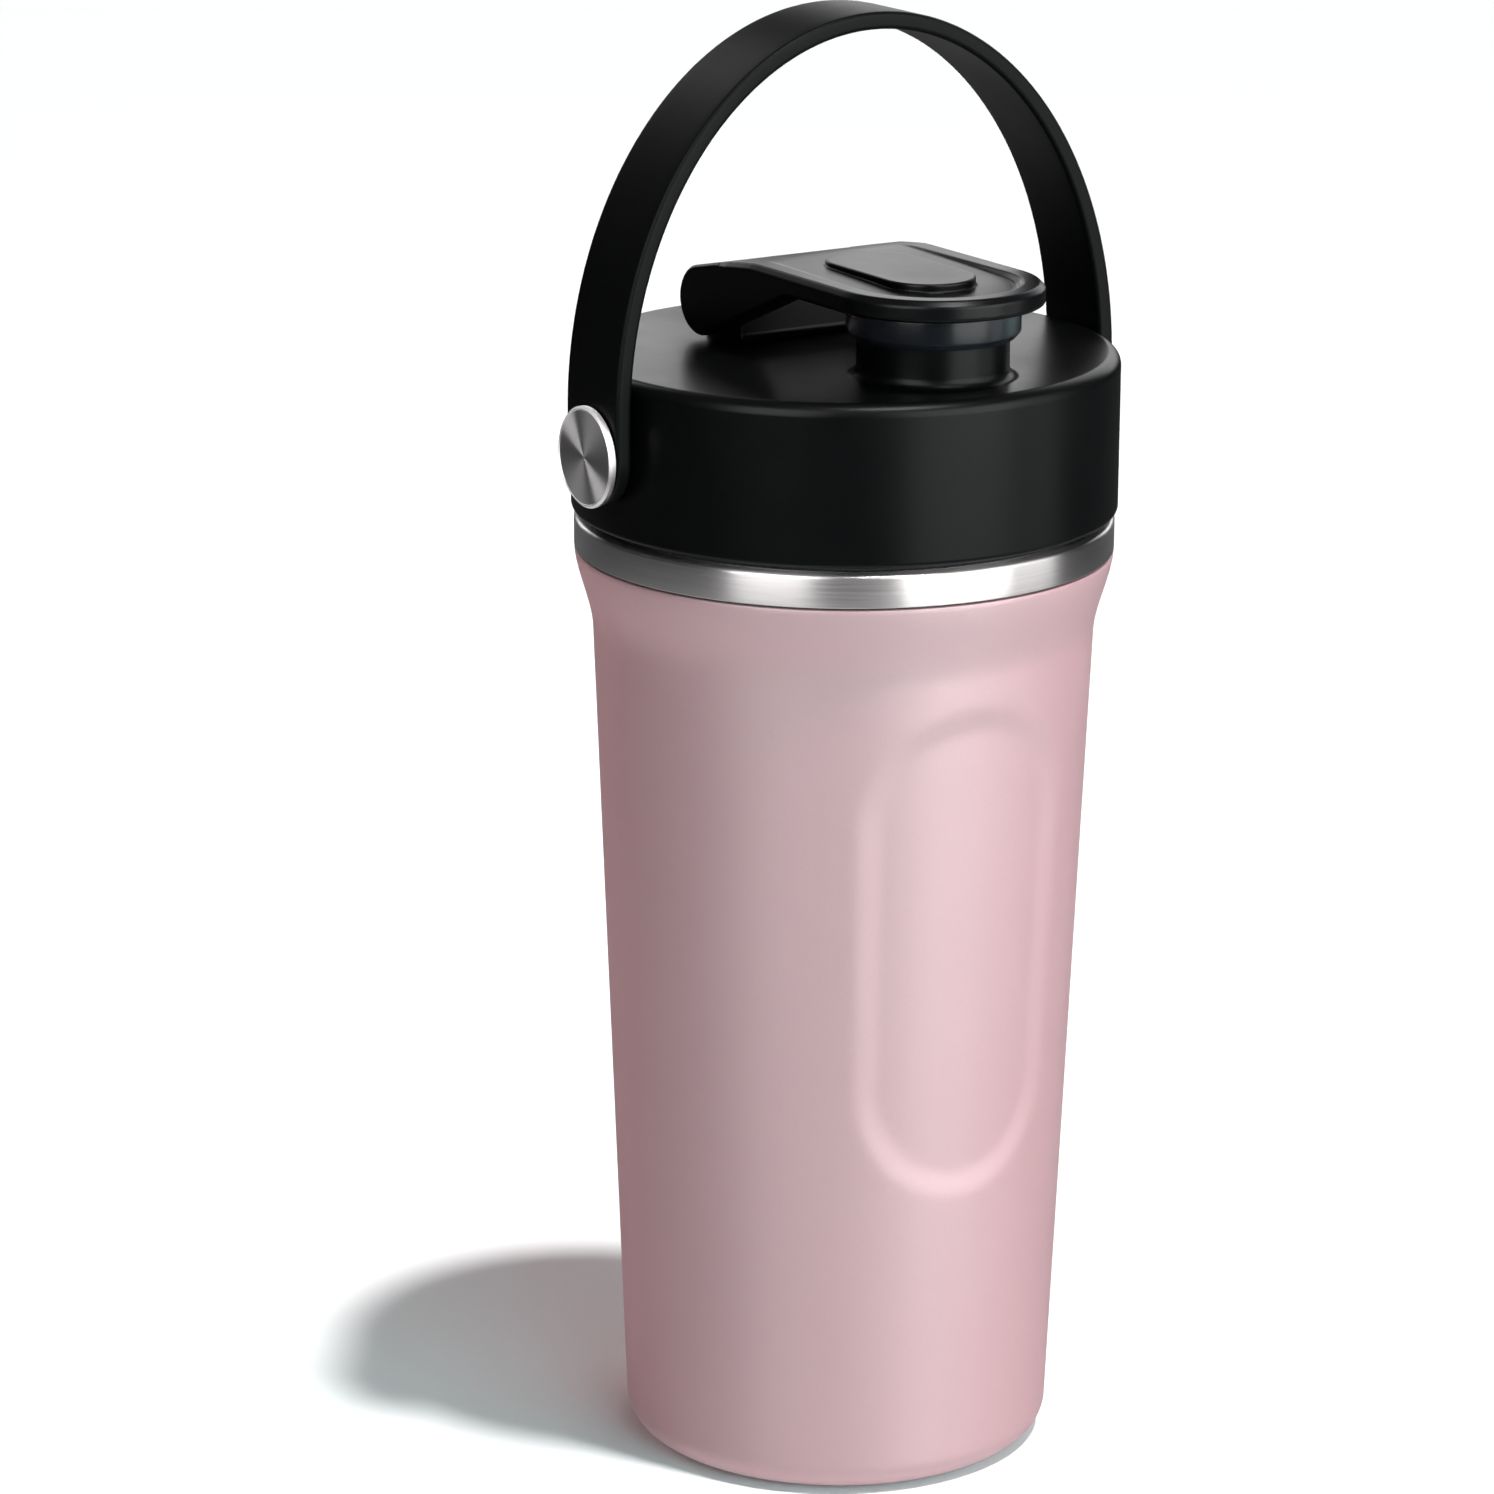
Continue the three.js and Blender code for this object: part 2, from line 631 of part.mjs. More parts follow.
// Soft stopper: a skirt outside the spout and a plug inside it, on a stud under the cap.
function spoutSeal() {
  const top = CAP_BOTTOM - GAP;
  const body = turned([
    [0, SEAL_BOTTOM],
    [SPOUT_BORE - 0.9, SEAL_BOTTOM],
    [SPOUT_BORE - GAP, SEAL_BOTTOM + 0.8],
    [SPOUT_BORE - GAP, top - SEAL_WEB],
    [SPOUT_RADIUS + GAP, top - SEAL_WEB],
    [SPOUT_RADIUS + GAP, SKIRT_BOTTOM],
    [SPOUT_RADIUS + 0.8, SKIRT_BOTTOM],
    [SEAL_RADIUS, SKIRT_BOTTOM + 1.1],
    [SEAL_RADIUS, top],
    [0, top],
  ], 28);
  const socket = column(STUD_RADIUS + GAP, STUD_BOTTOM - GAP, top + 1, 0, 0, 14);
  return body.subtract(socket).translate([0, SPOUT_Y, 0]);
}

function hingePin() {
  const half = PIN_END - GAP;
  return rod(PIN_RADIUS, -half, half, HINGE_Y, HINGE_Z, 20);
}

// Mixing grid: a collar, rings and spokes in one moulding.

function flatRing(inner, outer, bottom, top, segments) {
  return turned([
    [inner, bottom],
    [outer, bottom],
    [outer, top],
    [inner, top],
  ], segments);
}

function mixingGrid() {
  const top = GRID_BOTTOM + GRID_PLATE;
  const bar = GRID_BAR / 2;
  let body = flatRing(GRID_RADIUS - GRID_COLLAR, GRID_RADIUS, GRID_BOTTOM, GRID_COLLAR_TOP, SEGMENTS);
  body = body.add(column(GRID_HUB, GRID_BOTTOM, top, 0, 0, 20));
  for (const radius of GRID_RINGS) {
    body = body.add(flatRing(radius - bar, radius + bar, GRID_BOTTOM + 0.1, top - 0.1, 24));
  }
  for (let i = 0; i < GRID_SPOKES; i += 1) {
    const spoke = block(GRID_HUB - 2, GRID_RADIUS - 1.5, -bar, bar, GRID_BOTTOM + 0.2, top - 0.2);
    body = body.add(spoke.rotate([0, 0, ((i + 0.5) * 360) / GRID_SPOKES]));
  }
  return body;
}

// Assembly.

const bottle = new THREE.Group();

function addPiece(parent, name, body, look) {
  const mesh = new THREE.Mesh(geometryOf(body), look);
  mesh.name = name;
  parent.add(mesh);
}

const cup = new THREE.Group();
addPiece(cup, 'outer_shell', outerShell(), material(PINK, 0.45));
addPiece(cup, 'neck_band', neckBand(), material(STEEL, 0.3, 1));
addPiece(cup, 'inner_liner', innerLiner(), material(STEEL, 0.35, 1));
addPiece(cup, 'base_plate', basePlate(), material(PINK, 0.45));
addPiece(cup, 'vacuum_seal_plug', vacuumSealPlug(), material(STEEL, 0.4, 1));
addPiece(cup, 'vacuum_getter', vacuumGetter(), material(GETTER, 0.6, 0.8));
bottle.add(cup);

const lid = new THREE.Group();
addPiece(lid, 'lid_gasket', lidGasket(), material(GREY_RUBBER, 0.7));
addPiece(lid, 'lid_shell', lidShell(), material(BLACK, 0.5));
addPiece(lid, 'lid_plug', lidPlug(), material(BLACK, 0.5));
addPiece(lid, 'hinge_pin', hingePin(), material(STEEL, 0.3, 1));
for (const [side, word] of [[-1, 'left'], [1, 'right']]) {
  addPiece(lid, `pivot_button_${word}`, pivotButton(side), material(STEEL, 0.25, 1));
  addPiece(lid, `pivot_washer_${word}`, pivotWasher(side), material(BLACK, 0.5));
  addPiece(lid, `pivot_insert_${word}`, pivotInsert(side), material(BRASS, 0.35, 1));
  addPiece(lid, `strap_bush_${word}`, strapBush(side), material(STEEL, 0.3, 1));
}
addPiece(lid, 'carry_strap', carryStrap(), material(BLACK, 0.55));
addPiece(lid, 'flip_cap', flipCap(), material(BLACK, 0.4));
addPiece(lid, 'spout_seal', spoutSeal(), material(SMOKE, 0.2));
addPiece(lid, 'mixing_grid', mixingGrid(), material(BLACK, 0.5));
bottle.add(lid);

export default bottle;
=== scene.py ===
import math

import bmesh
import bpy
import numpy as np
from mathutils import Matrix, Vector


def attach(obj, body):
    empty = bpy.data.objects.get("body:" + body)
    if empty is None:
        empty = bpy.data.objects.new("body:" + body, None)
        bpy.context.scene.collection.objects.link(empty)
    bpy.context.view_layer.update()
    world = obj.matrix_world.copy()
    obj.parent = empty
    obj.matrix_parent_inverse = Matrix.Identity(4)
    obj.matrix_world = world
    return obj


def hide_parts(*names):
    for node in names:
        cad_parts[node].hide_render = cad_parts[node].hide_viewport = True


# Insulated shaker bottle. Lengths are millimetres until a mesh is made; MM turns them into metres.
# The origin is the centre of the foot, the spout is at -Y and the strap's pivots are on the X axis.
MM = 0.001
FINE = 256  # facets round a large turned piece
SMALL = 96  # facets round a small one
GAP = 0.3  # play between neighbouring pieces

# Cup.
BASE_RADIUS = 37.5
BASE_CORNER = 5.5
BODY_TAPER = 0.0408
FLARE_START = 147.0
FLARE_END = 162.0
FLARE = 2.65
SHELL_TOP = 161.2
SHELL_WALL = 0.8
FOOT_INNER = 29.0
FOOT_CHAMFER = 0.3
BAND_RADIUS = 46.5
BAND_WALL = 0.8
BAND_BOTTOM = 161.5
LIP_TOP = 167.1
LIP_INNER = 44.1
MOUTH_RADIUS = 43.0
MOUTH_BOTTOM = 158.0
LINER_WALL = 0.7
WALL_TOTAL = 3.6
FLOOR_TOP = 7.0
FLOOR_CORNER = 7.0

# Base plate: a low rim, a dish and a small raised seat in the middle.
PLATE_RIM = 0.5
PLATE_DISH = 2.4
PLATE_SEAT = 3.4
PLATE_RIM_RADIUS = 26.5
PLATE_DISH_RADIUS = 24.5
PLATE_SEAT_RADIUS = 4.2
PLATE_STEP = 1.0

# Dents in the front and back of the cup, as shallow as the photo's light shows them.
DENT_DEPTH = 0.8
DENT_HALF_ANGLE = math.radians(25.5)
DENT_HALF_WIDTH = 18.3
DENT_BOTTOM = 56.5
DENT_TOP = 140.0
DENT_EDGE = 3.0  # half the width of the soft edge
DENT_TURN = math.radians(-1.7)

# Thread.
THREAD_LEAD = 5.0
THREAD_TURNS = 1.3
THREAD_HALF_BASE = 1.0
THREAD_HALF_CREST = 0.45
THREAD_FADE = 0.08  # part of a turn over which a ridge rises or dies away
THREAD_PLAY = 0.45  # between the plug's crest and the mouth's wall
LINER_THREAD_Z = 159.6
PLUG_THREAD_Z = 159.2
PLUG_THREAD_TURN = math.radians(90)

# Lid.
LID_RADIUS = 47.0
LID_WALL = 2.0
LID_BOTTOM = 168.3
LID_TOP = 195.8
LID_PLATE = 2.2
LID_FILLET = 2.3
PLUG_RADIUS = 41.5
PLUG_BORE = 39.3
PLUG_BOTTOM = 158.0
PLUG_TOP = 193.3
FLANGE_RADIUS = 44.7
FLANGE_BOTTOM = 170.2
FLANGE_TOP = 172.6
SPOUT_Y = -26.3
SPOUT_RADIUS = 12.8
SPOUT_BORE = 10.8
SPOUT_TOP = 206.2
SPOUT_ROOT = 1.8  # fillet where the spout stands on the lid
SPOUT_LIP = 0.7
SPOUT_INNER_LIP = 0.6

# Strap and pivots.
PIVOT_Z = 182.6
STRAP_X = 49.2
STRAP_THICKNESS = 3.0
STRAP_WIDTH = 16.5
STRAP_LEG = 7.1
STRAP_RISE = 62.8
STRAP_HOLE = 4.9
STRAP_ROUND = 0.8
STRAP_HOLE_REACH = 4.5  # half the length of the cut that makes a hole
BUTTON_RADIUS = 8.6
BUTTON_FACE = 52.2
BUTTON_BACK = 51.0
BUTTON_CHAMFER = 0.3
BUTTON_EDGE = 0.1
BUTTON_LIP = 0.12
BUTTON_LIP_FOOT = 0.25
BUTTON_CROWN_RADIUS = 4.0
BUTTON_BRUSH_TURN = -0.05  # of a full turn
SHANK_RADIUS = 2.8
SHANK_END = 42.8
SHANK_CHAMFER = 0.3
SHANK_HOLE = 3.1
BOSS_INNER = 42.2
BOSS_RADIUS = 6.5
INSERT_HOLE = 4.2
INSERT_END = 45.7
RECESS_RADIUS = 5.8
RECESS_FLOOR = 45.9

# Flip cap and hinge.
HINGE_Y = 18.1
HINGE_Z = 202.6
EAR_RADIUS = 6.1
BLOCK_RADIUS = 5.7
BLOCK_ROOT = 1.5  # fillet where the block stands on the lid
BLOCK_FOOT = 7.2  # half the length of its foot
BLOCK_SUNK = 0.9  # how far its foot runs into the lid
BLOCK_EDGE = 0.5
EAR_INNER = 13.6
CAP_HALF_WIDTH = 18.6
CAP_TOP = 211.7
CAP_BOTTOM = 208.0
CAP_BEVEL = 0.95
CAP_CHAMFER = 0.5
CAP_EDGE_ROUND = 0.15
CAP_BEVEL_ROUND = 0.12
CAP_CHEEK = [(-11.5, 208.0), (-9.0, 207.6), (4.0, 202.0), (14.9, 197.4)]  # lower edge, in Y and Z
CAP_BACK = [(9.5, 210.75), (6.0, 211.2), (4.0, 211.45), (2.0, 211.65)]  # the fall to the ears
CAP_PAST_FRONT = -50.0  # its side outline runs on to here and the plan cuts it off
NOTCH_FRONT = 11.9
INSIDE_ROUND = 0.8
INSIDE_EDGE = 0.3
DISH_RADIUS = 14.3
DISH_REAR = 2.0
DISH_SLOPE = 1.2 / 42
DISH_CORNER = 1.1
DISH_EDGE = 0.7
STUD_RADIUS = 4.0
STUD_BOTTOM = 204.6
STUD_TOP = 209.0
STUD_ROUND = 0.4
STUD_ROOT = 0.3
PAD_HALF_WIDTH = 8.0
PAD_FRONT = -32.4
PAD_REAR = -1.0
PAD_CORNER = 7.9
PAD_REAR_CORNER = 6.5
PAD_TOP = 212.2
PAD_BOTTOM = 209.6
PAD_ROUND = 0.3
PAD_ROOT = 0.12
CAP_BOX_LOW = (-19.3, -45.6, 195.9)
CAP_BOX_HIGH = (19.3, 25.2, 213.0)
CAP_CELL = 0.28
SEAL_RADIUS = 14.65
SEAL_BOTTOM = 202.0
SEAL_STEP = 203.6
SEAL_WEB = 1.1  # thickness over the spout's rim
SKIRT_BOTTOM = 202.5
SKIRT_WALL = 0.6
PIN_BORE = 1.9
PIN_END = 17.2

# Camera.
CAMERA_AT = (-512.15, -770.17, 388.72)
CAMERA_AZIMUTH = math.radians(-32.6)
CAMERA_DOWN = math.radians(15.94)
CAMERA_ROLL = math.radians(-0.28)
CAMERA_LENS = 132.995
SENSOR = 36.0

# Studio.
SUN_FROM = (18, -50, 178)
SUN_STRENGTH = 3.2
SUN_SIZE = math.radians(4.5)
FLOOR_RADIUS = 4.5  # metres
FLOOR_DROP = 0.2  # below the foot, so that the two faces stay apart
GLOW_BY_HEIGHT = ((-1, 1.0), (-0.6, 0.42), (-0.32, 0.1), (-0.14, 0.03), (0.3, 0.02), (1, 0.16))

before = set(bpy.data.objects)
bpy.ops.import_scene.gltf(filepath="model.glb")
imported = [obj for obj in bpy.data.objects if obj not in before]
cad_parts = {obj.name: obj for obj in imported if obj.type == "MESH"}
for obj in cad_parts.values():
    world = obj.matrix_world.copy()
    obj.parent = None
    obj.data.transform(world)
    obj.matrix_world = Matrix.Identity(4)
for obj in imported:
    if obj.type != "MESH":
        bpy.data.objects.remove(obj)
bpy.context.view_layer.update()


# Outlines.

def rounded(corners, steps=6):
    """Points of a closed outline. A corner with a third number is rounded to that radius."""
    points = []
    count = len(corners)
    for i, corner in enumerate(corners):
        here = np.array(corner[:2], float)
        radius = corner[2] if len(corner) > 2 else 0
        if radius == 0:
            points.append(tuple(here))
            continue
        back = np.array(corners[i - 1][:2], float) - here
        ahead = np.array(corners[(i + 1) % count][:2], float) - here
        back /= np.linalg.norm(back)
        ahead /= np.linalg.norm(ahead)
        half = math.acos(np.clip(back @ ahead, -1, 1)) / 2
        middle = (back + ahead) / np.linalg.norm(back + ahead)
        centre = here + middle * radius / math.sin(half)
        first = here + back * radius / math.tan(half) - centre
        last = here + ahead * radius / math.tan(half) - centre
        sweep = math.pi - 2 * half
        for k in range(steps + 1):
            t = k / steps
            turn = (first * math.sin((1 - t) * sweep) + last * math.sin(t * sweep)) / math.sin(sweep)
            points.append(tuple(centre + turn))
    return points


def arc(cx, cy, radius, start, end, steps):
    angles = np.radians(np.linspace(start, end, steps + 1))
    return [(cx + radius * math.cos(a), cy + radius * math.sin(a)) for a in angles]


def fillet(wall, floor, radius, side, first, steps):
    """Points of a hollow corner, from a floor up to the wall on it. The side is 1 or -1."""
    turns = np.linspace(first, math.pi / 2, steps)
    return [(wall + side * radius * (1 - math.sin(t)), floor + radius * (1 - math.cos(t))) for t in turns]


def smoothstep(value, low, high):
    t = np.clip((value - low) / (high - low), 0, 1)
    return t * t * (3 - 2 * t)


# Meshes.

def make(name, vertices, faces, sharp=40):
    """A smooth-shaded object from points in millimetres. Edges steeper than sharp degrees stay crisp."""
    mesh = bpy.data.meshes.new(name)
    mesh.from_pydata([tuple(v * MM for v in p) for p in vertices], [], faces)
    work = bmesh.new()
    work.from_mesh(mesh)
    bmesh.ops.remove_doubles(work, verts=work.verts, dist=0.002 * MM)
    bmesh.ops.recalc_face_normals(work, faces=work.faces)
    work.to_mesh(mesh)
    work.free()
    shade(mesh, sharp)
    obj = bpy.data.objects.new(name, mesh)
    bpy.context.scene.collection.objects.link(obj)
    return obj


def shade(mesh, sharp):
    mesh.polygons.foreach_set("use_smooth", [True] * len(mesh.polygons))
    if sharp:
        mesh.set_sharp_from_angle(angle=math.radians(sharp))


def turned(name, profile, segments=FINE, change=None, sharp=40):
    """A closed body turned about Z from (radius, height) points. Angle 0 is the front."""
    ends_on_axis = profile[0][0] == 0 and profile[-1][0] == 0
    angles = np.arange(segments) * 2 * math.pi / segments
    vertices = []
    rings = []
    for radius, height in profile:
        if radius == 0:
            rings.append([len(vertices)] * segments)
            vertices.append((0, 0, height))
            continue
        rings.append(list(range(len(vertices), len(vertices) + segments)))
        radii = np.full(segments, float(radius))
        heights = np.full(segments, float(height))
        if change:
            radii = change(angles, radii, heights)
        vertices += zip(radii * np.sin(angles), -radii * np.cos(angles), heights)
    faces = []
    pairs = list(zip(rings, rings[1:]))
    if not ends_on_axis:
        pairs.append((rings[-1], rings[0]))
    for low, high in pairs:
        for i in range(segments):
            j = (i + 1) % segments
            corners = [low[i], low[j], high[j], high[i]]
            faces.append(tuple(dict.fromkeys(corners)))
    return make(name, vertices, faces, sharp)


def turned_on_x(name, profile, side, segments=SMALL, sharp=40):
    """A body turned about the pivot axis from (radius, x) points, on the left or right side."""
    obj = turned(name, profile, segments, None, sharp)
    place = Matrix(((0, 0, side, 0), (0, 1, 0, 0), (-side, 0, 0, PIVOT_Z * MM), (0, 0, 0, 1)))
    obj.data.transform(place)
    return obj


def along_x(name, outline, half_length, edge, sharp=40):
    """A closed bar along X with an outline in Y and Z, its end edges rounded."""
    outline = np.array(outline)
    ahead = np.roll(outline, -1, axis=0) - np.roll(outline, 1, axis=0)
    ahead /= np.linalg.norm(ahead, axis=1)[:, None]
    following = np.roll(outline, -1, axis=0)
    area = np.sum(outline[:, 0] * following[:, 1] - following[:, 0] * outline[:, 1])
    outward = np.stack([ahead[:, 1], -ahead[:, 0]], axis=1) * math.copysign(1, area)
    stations = [(-half_length + edge * (1 - math.cos(t)), edge * (1 - math.sin(t)))
                for t in np.linspace(0, math.pi / 2, 5)]
    stations += [(-x, inset) for x, inset in reversed(stations)]
    vertices = []
    for x, inset in stations:
        vertices += [(x, y, z) for y, z in outline - outward * inset]
    count = len(outline)
    faces = []
    for s in range(len(stations) - 1):
        for i in range(count):
            j = (i + 1) % count
            faces.append((s * count + i, s * count + j, (s + 1) * count + j, (s + 1) * count + i))
    faces.append(tuple(range(count)))
    last = (len(stations) - 1) * count
    faces.append(tuple(range(last + count - 1, last - 1, -1)))
    return make(name, vertices, faces, sharp)


def combine(obj, others, operation, sharp=35):
    """Joins or cuts obj with other closed bodies, which are then removed."""
    for other in others:
        step = obj.modifiers.new("combine", "BOOLEAN")
        step.solver = "EXACT"
        step.operation = operation
        step.object = other
        graph = bpy.context.evaluated_depsgraph_get()
        result = bpy.data.meshes.new_from_object(obj.evaluated_get(graph))
        obj.modifiers.clear()
        old = obj.data
        obj.data = result
        bpy.data.meshes.remove(old)
        spare = other.data
        bpy.data.objects.remove(other)
        bpy.data.meshes.remove(spare)
    obj.data.name = obj.name
    shade(obj.data, sharp)
    even = obj.modifiers.new("even", "WEIGHTED_NORMAL")
    even.keep_sharp = True
    return obj


# Distance fields, for the one body with rounded edges in every direction.

def meet(a, b, radius):
    """Overlap of two distance fields, its edge rounded."""
    over_a = np.maximum(a + radius, 0)
    over_b = np.maximum(b + radius, 0)
    return np.minimum(np.maximum(a, b), -radius) + np.hypot(over_a, over_b)


def join(a, b, radius):
    return -meet(-a, -b, radius)


def outline_distance(outline, u, v):
    """Signed distance from (u, v) to a closed outline, negative inside."""
    u, v = np.broadcast_arrays(u, v)
    nearest = np.full(u.shape, 1e9)
    inside = np.zeros(u.shape, bool)
    for (u0, v0), (u1, v1) in zip(outline, outline[1:] + outline[:1]):
        du, dv = u1 - u0, v1 - v0
        t = np.clip(((u - u0) * du + (v - v0) * dv) / (du * du + dv * dv), 0, 1)
        nearest = np.minimum(nearest, np.hypot(u - u0 - t * du, v - v0 - t * dv))
        if v0 != v1:
            crossing = u0 + (v - v0) / (v1 - v0) * du
            inside ^= ((v0 > v) != (v1 > v)) & (u < crossing)
    return np.where(inside, -nearest, nearest)


def net(name, distance, low, high, cell):
    """A closed mesh of a distance field's zero surface, its points drawn on to the surface."""
    axes = [np.arange(a, b + cell, cell) for a, b in zip(low, high)]
    field = distance(axes[0][:, None, None], axes[1][None, :, None], axes[2][None, None, :])
    shape = tuple(n - 1 for n in field.shape)
    count = np.zeros(shape)
    total = np.zeros(shape + (3,))
    crossings = []
    grid = np.stack(np.meshgrid(*axes, indexing="ij"), axis=-1)
    for axis in range(3):
        first = [slice(None)] * 3
        second = [slice(None)] * 3
        first[axis] = slice(None, -1)
        second[axis] = slice(1, None)
        a, b = field[tuple(first)], field[tuple(second)]
        cross = (a < 0) != (b < 0)
        step = np.where(cross, a / np.where(cross, a - b, 1), 0) * cell
        place = grid[tuple(first)].copy()
        place[..., axis] += step
        place *= cross[..., None]
        p, q = [k for k in range(3) if k != axis]
        for dp in (0, 1):
            for dq in (0, 1):
                part = [slice(None)] * 3
                part[p] = slice(dp, dp + shape[p])
                part[q] = slice(dq, dq + shape[q])
                count += cross[tuple(part)]
                total += place[tuple(part)]
        crossings.append((cross, a < 0))
    used = count > 0
    points = total[used] / count[used][:, None]
    number = np.full(shape, -1)
    number[used] = np.arange(len(points))
    quads = []
    for axis in range(3):
        cross, rising = crossings[axis]
        p, q = (axis + 1) % 3, (axis + 2) % 3
        at = np.argwhere(cross)
        keep = (at[:, p] > 0) & (at[:, q] > 0) & (at[:, p] < shape[p]) & (at[:, q] < shape[q])
        at = at[keep]
        outward = rising[tuple(at.T)]
        ring = []
        for dp, dq in ((1, 1), (0, 1), (0, 0), (1, 0)):
            cell_at = at.copy()
            cell_at[:, p] -= dp
            cell_at[:, q] -= dq
            ring.append(number[tuple(cell_at.T)])
        ring = np.stack(ring, axis=1)
        ring[~outward] = ring[~outward][:, ::-1]
        quads.append(ring)
    for _ in range(4):
        points = draw_on(distance, points, cell)
    return make(name, points.tolist(), np.concatenate(quads).tolist(), sharp=0)


def draw_on(distance, points, cell):
    nudge = 0.02
    x, y, z = points.T
    value = distance(x, y, z)
    slope = np.stack([
        distance(x + nudge, y, z) - distance(x - nudge, y, z),
        distance(x, y + nudge, z) - distance(x, y - nudge, z),
        distance(x, y, z + nudge) - distance(x, y, z - nudge),
    ], axis=1) / (2 * nudge)
    size = np.maximum(np.sum(slope * slope, axis=1), 0.2)
    shift = np.clip(value / size, -cell / 2, cell / 2)
    return points - shift[:, None] * slope


# Cup pieces.

def body_radius(z):
    return BASE_RADIUS + BODY_TAPER * (z - BASE_CORNER) + FLARE * smoothstep(z, FLARE_START, FLARE_END)


def liner_radius(z):
    straight = BASE_RADIUS + BODY_TAPER * (z - BASE_CORNER) - WALL_TOTAL
    at_mouth = BASE_RADIUS + BODY_TAPER * (MOUTH_BOTTOM - BASE_CORNER) - WALL_TOTAL
    widening = (MOUTH_RADIUS - at_mouth) * smoothstep(z, FLARE_START - 1, MOUTH_BOTTOM)
    return np.where(z >= MOUTH_BOTTOM, MOUTH_RADIUS, straight + widening)


def dented(angles, radii, heights):
    """Radii with a soft round-ended dent pressed into the front and the back."""
    across = np.arctan(np.tan(angles - DENT_TURN)) / DENT_HALF_ANGLE * DENT_HALF_WIDTH
    low = DENT_BOTTOM + DENT_HALF_WIDTH
    high = DENT_TOP - DENT_HALF_WIDTH
    beyond = heights - np.clip(heights, low, high)
    distance = np.hypot(across, beyond) - DENT_HALF_WIDTH
    return radii - DENT_DEPTH * (1 - smoothstep(distance, -DENT_EDGE, DENT_EDGE))


def outer_shell():
    below_dent = DENT_BOTTOM - 5.5
    below_flare = FLARE_START - 1
    heights = np.concatenate([
        np.linspace(BASE_CORNER, below_dent - 1, 10)[1:],
        np.arange(below_dent, below_flare, 0.75),
        np.linspace(below_flare, SHELL_TOP - SHELL_WALL / 2, 24),
    ])
    corner = BASE_RADIUS - BASE_CORNER
    inner_corner = BASE_CORNER - SHELL_WALL
    profile = [(FOOT_INNER, FOOT_CHAMFER), (FOOT_INNER + FOOT_CHAMFER, 0)]
    profile += arc(corner, BASE_CORNER, BASE_CORNER, -90, 0, 16)
    profile += [(float(body_radius(z)), z) for z in heights]
    top = float(body_radius(SHELL_TOP))
    profile += [
        (top - 0.12, SHELL_TOP - 0.12),
        (top - SHELL_WALL / 2, SHELL_TOP),
        (top - SHELL_WALL, SHELL_TOP),
    ]
    profile += [(float(body_radius(z)) - SHELL_WALL, z) for z in heights[::-2]]
    profile += arc(corner, BASE_CORNER, inner_corner, 0, -90, 10)
    profile += [(FOOT_INNER, SHELL_WALL)]
    return turned("cup_shell", profile, 288, dented)


def neck_band():
    inner = BAND_RADIUS - BAND_WALL
    return turned("cup_neck_band", rounded([
        (inner, BAND_BOTTOM, 0.15),
        (BAND_RADIUS, BAND_BOTTOM, 0.2),
        (BAND_RADIUS, LIP_TOP, 0.7),
        (LIP_INNER, LIP_TOP, 0.15),
        (LIP_INNER, LIP_TOP - BAND_WALL),
        (inner, LIP_TOP - BAND_WALL),
    ]))


def ridge_height(angles, heights, start_angle, start_height):
    """How much of a thread's full height stands at an angle and height, from 0 to 1."""
    best = np.zeros_like(heights)
    for turn in (0, 1):
        along = np.mod(angles - start_angle, 2 * math.pi) / (2 * math.pi) + turn
        offset = np.abs(heights - start_height - along * THREAD_LEAD)
        flank = (THREAD_HALF_BASE - offset) / (THREAD_HALF_BASE - THREAD_HALF_CREST)
        rise = smoothstep(along, 0, THREAD_FADE)
        fade = rise * (1 - smoothstep(along, THREAD_TURNS - THREAD_FADE, THREAD_TURNS))
        best = np.maximum(best, np.clip(flank, 0, 1) * fade)
    return best


def inner_liner():
    bottom = FLOOR_TOP + FLOOR_CORNER
    corner = float(liner_radius(bottom)) - FLOOR_CORNER
    straight = np.linspace(bottom, FLARE_START - 2, 12)[1:]
    widening = np.linspace(FLARE_START - 1, MOUTH_BOTTOM - 0.2, 16)
    heights = np.concatenate([straight, widening])
    threaded = np.arange(MOUTH_BOTTOM, LIP_TOP - 0.1, 0.2)
    profile = [(0, FLOOR_TOP)]
    profile += arc(corner, bottom, FLOOR_CORNER, -90, 0, 12)
    profile += [(float(liner_radius(z)), z) for z in heights]
    profile += [(MOUTH_RADIUS, z) for z in threaded]
    profile += [(MOUTH_RADIUS + 0.15, LIP_TOP)]
    profile += [(MOUTH_RADIUS + LINER_WALL, LIP_TOP)]
    profile += [(float(liner_radius(z)) + LINER_WALL, z) for z in heights[::-1]]
    profile += arc(corner, bottom, FLOOR_CORNER + LINER_WALL, 0, -90, 12)
    profile += [(0, FLOOR_TOP - LINER_WALL)]

    def threaded_wall(angles, radii, heights):
        inner = np.abs(radii - MOUTH_RADIUS) < 0.01
        return radii - inner * ridge_height(angles, heights, 0, LINER_THREAD_Z)

    return turned("cup_liner", profile, 192, threaded_wall)


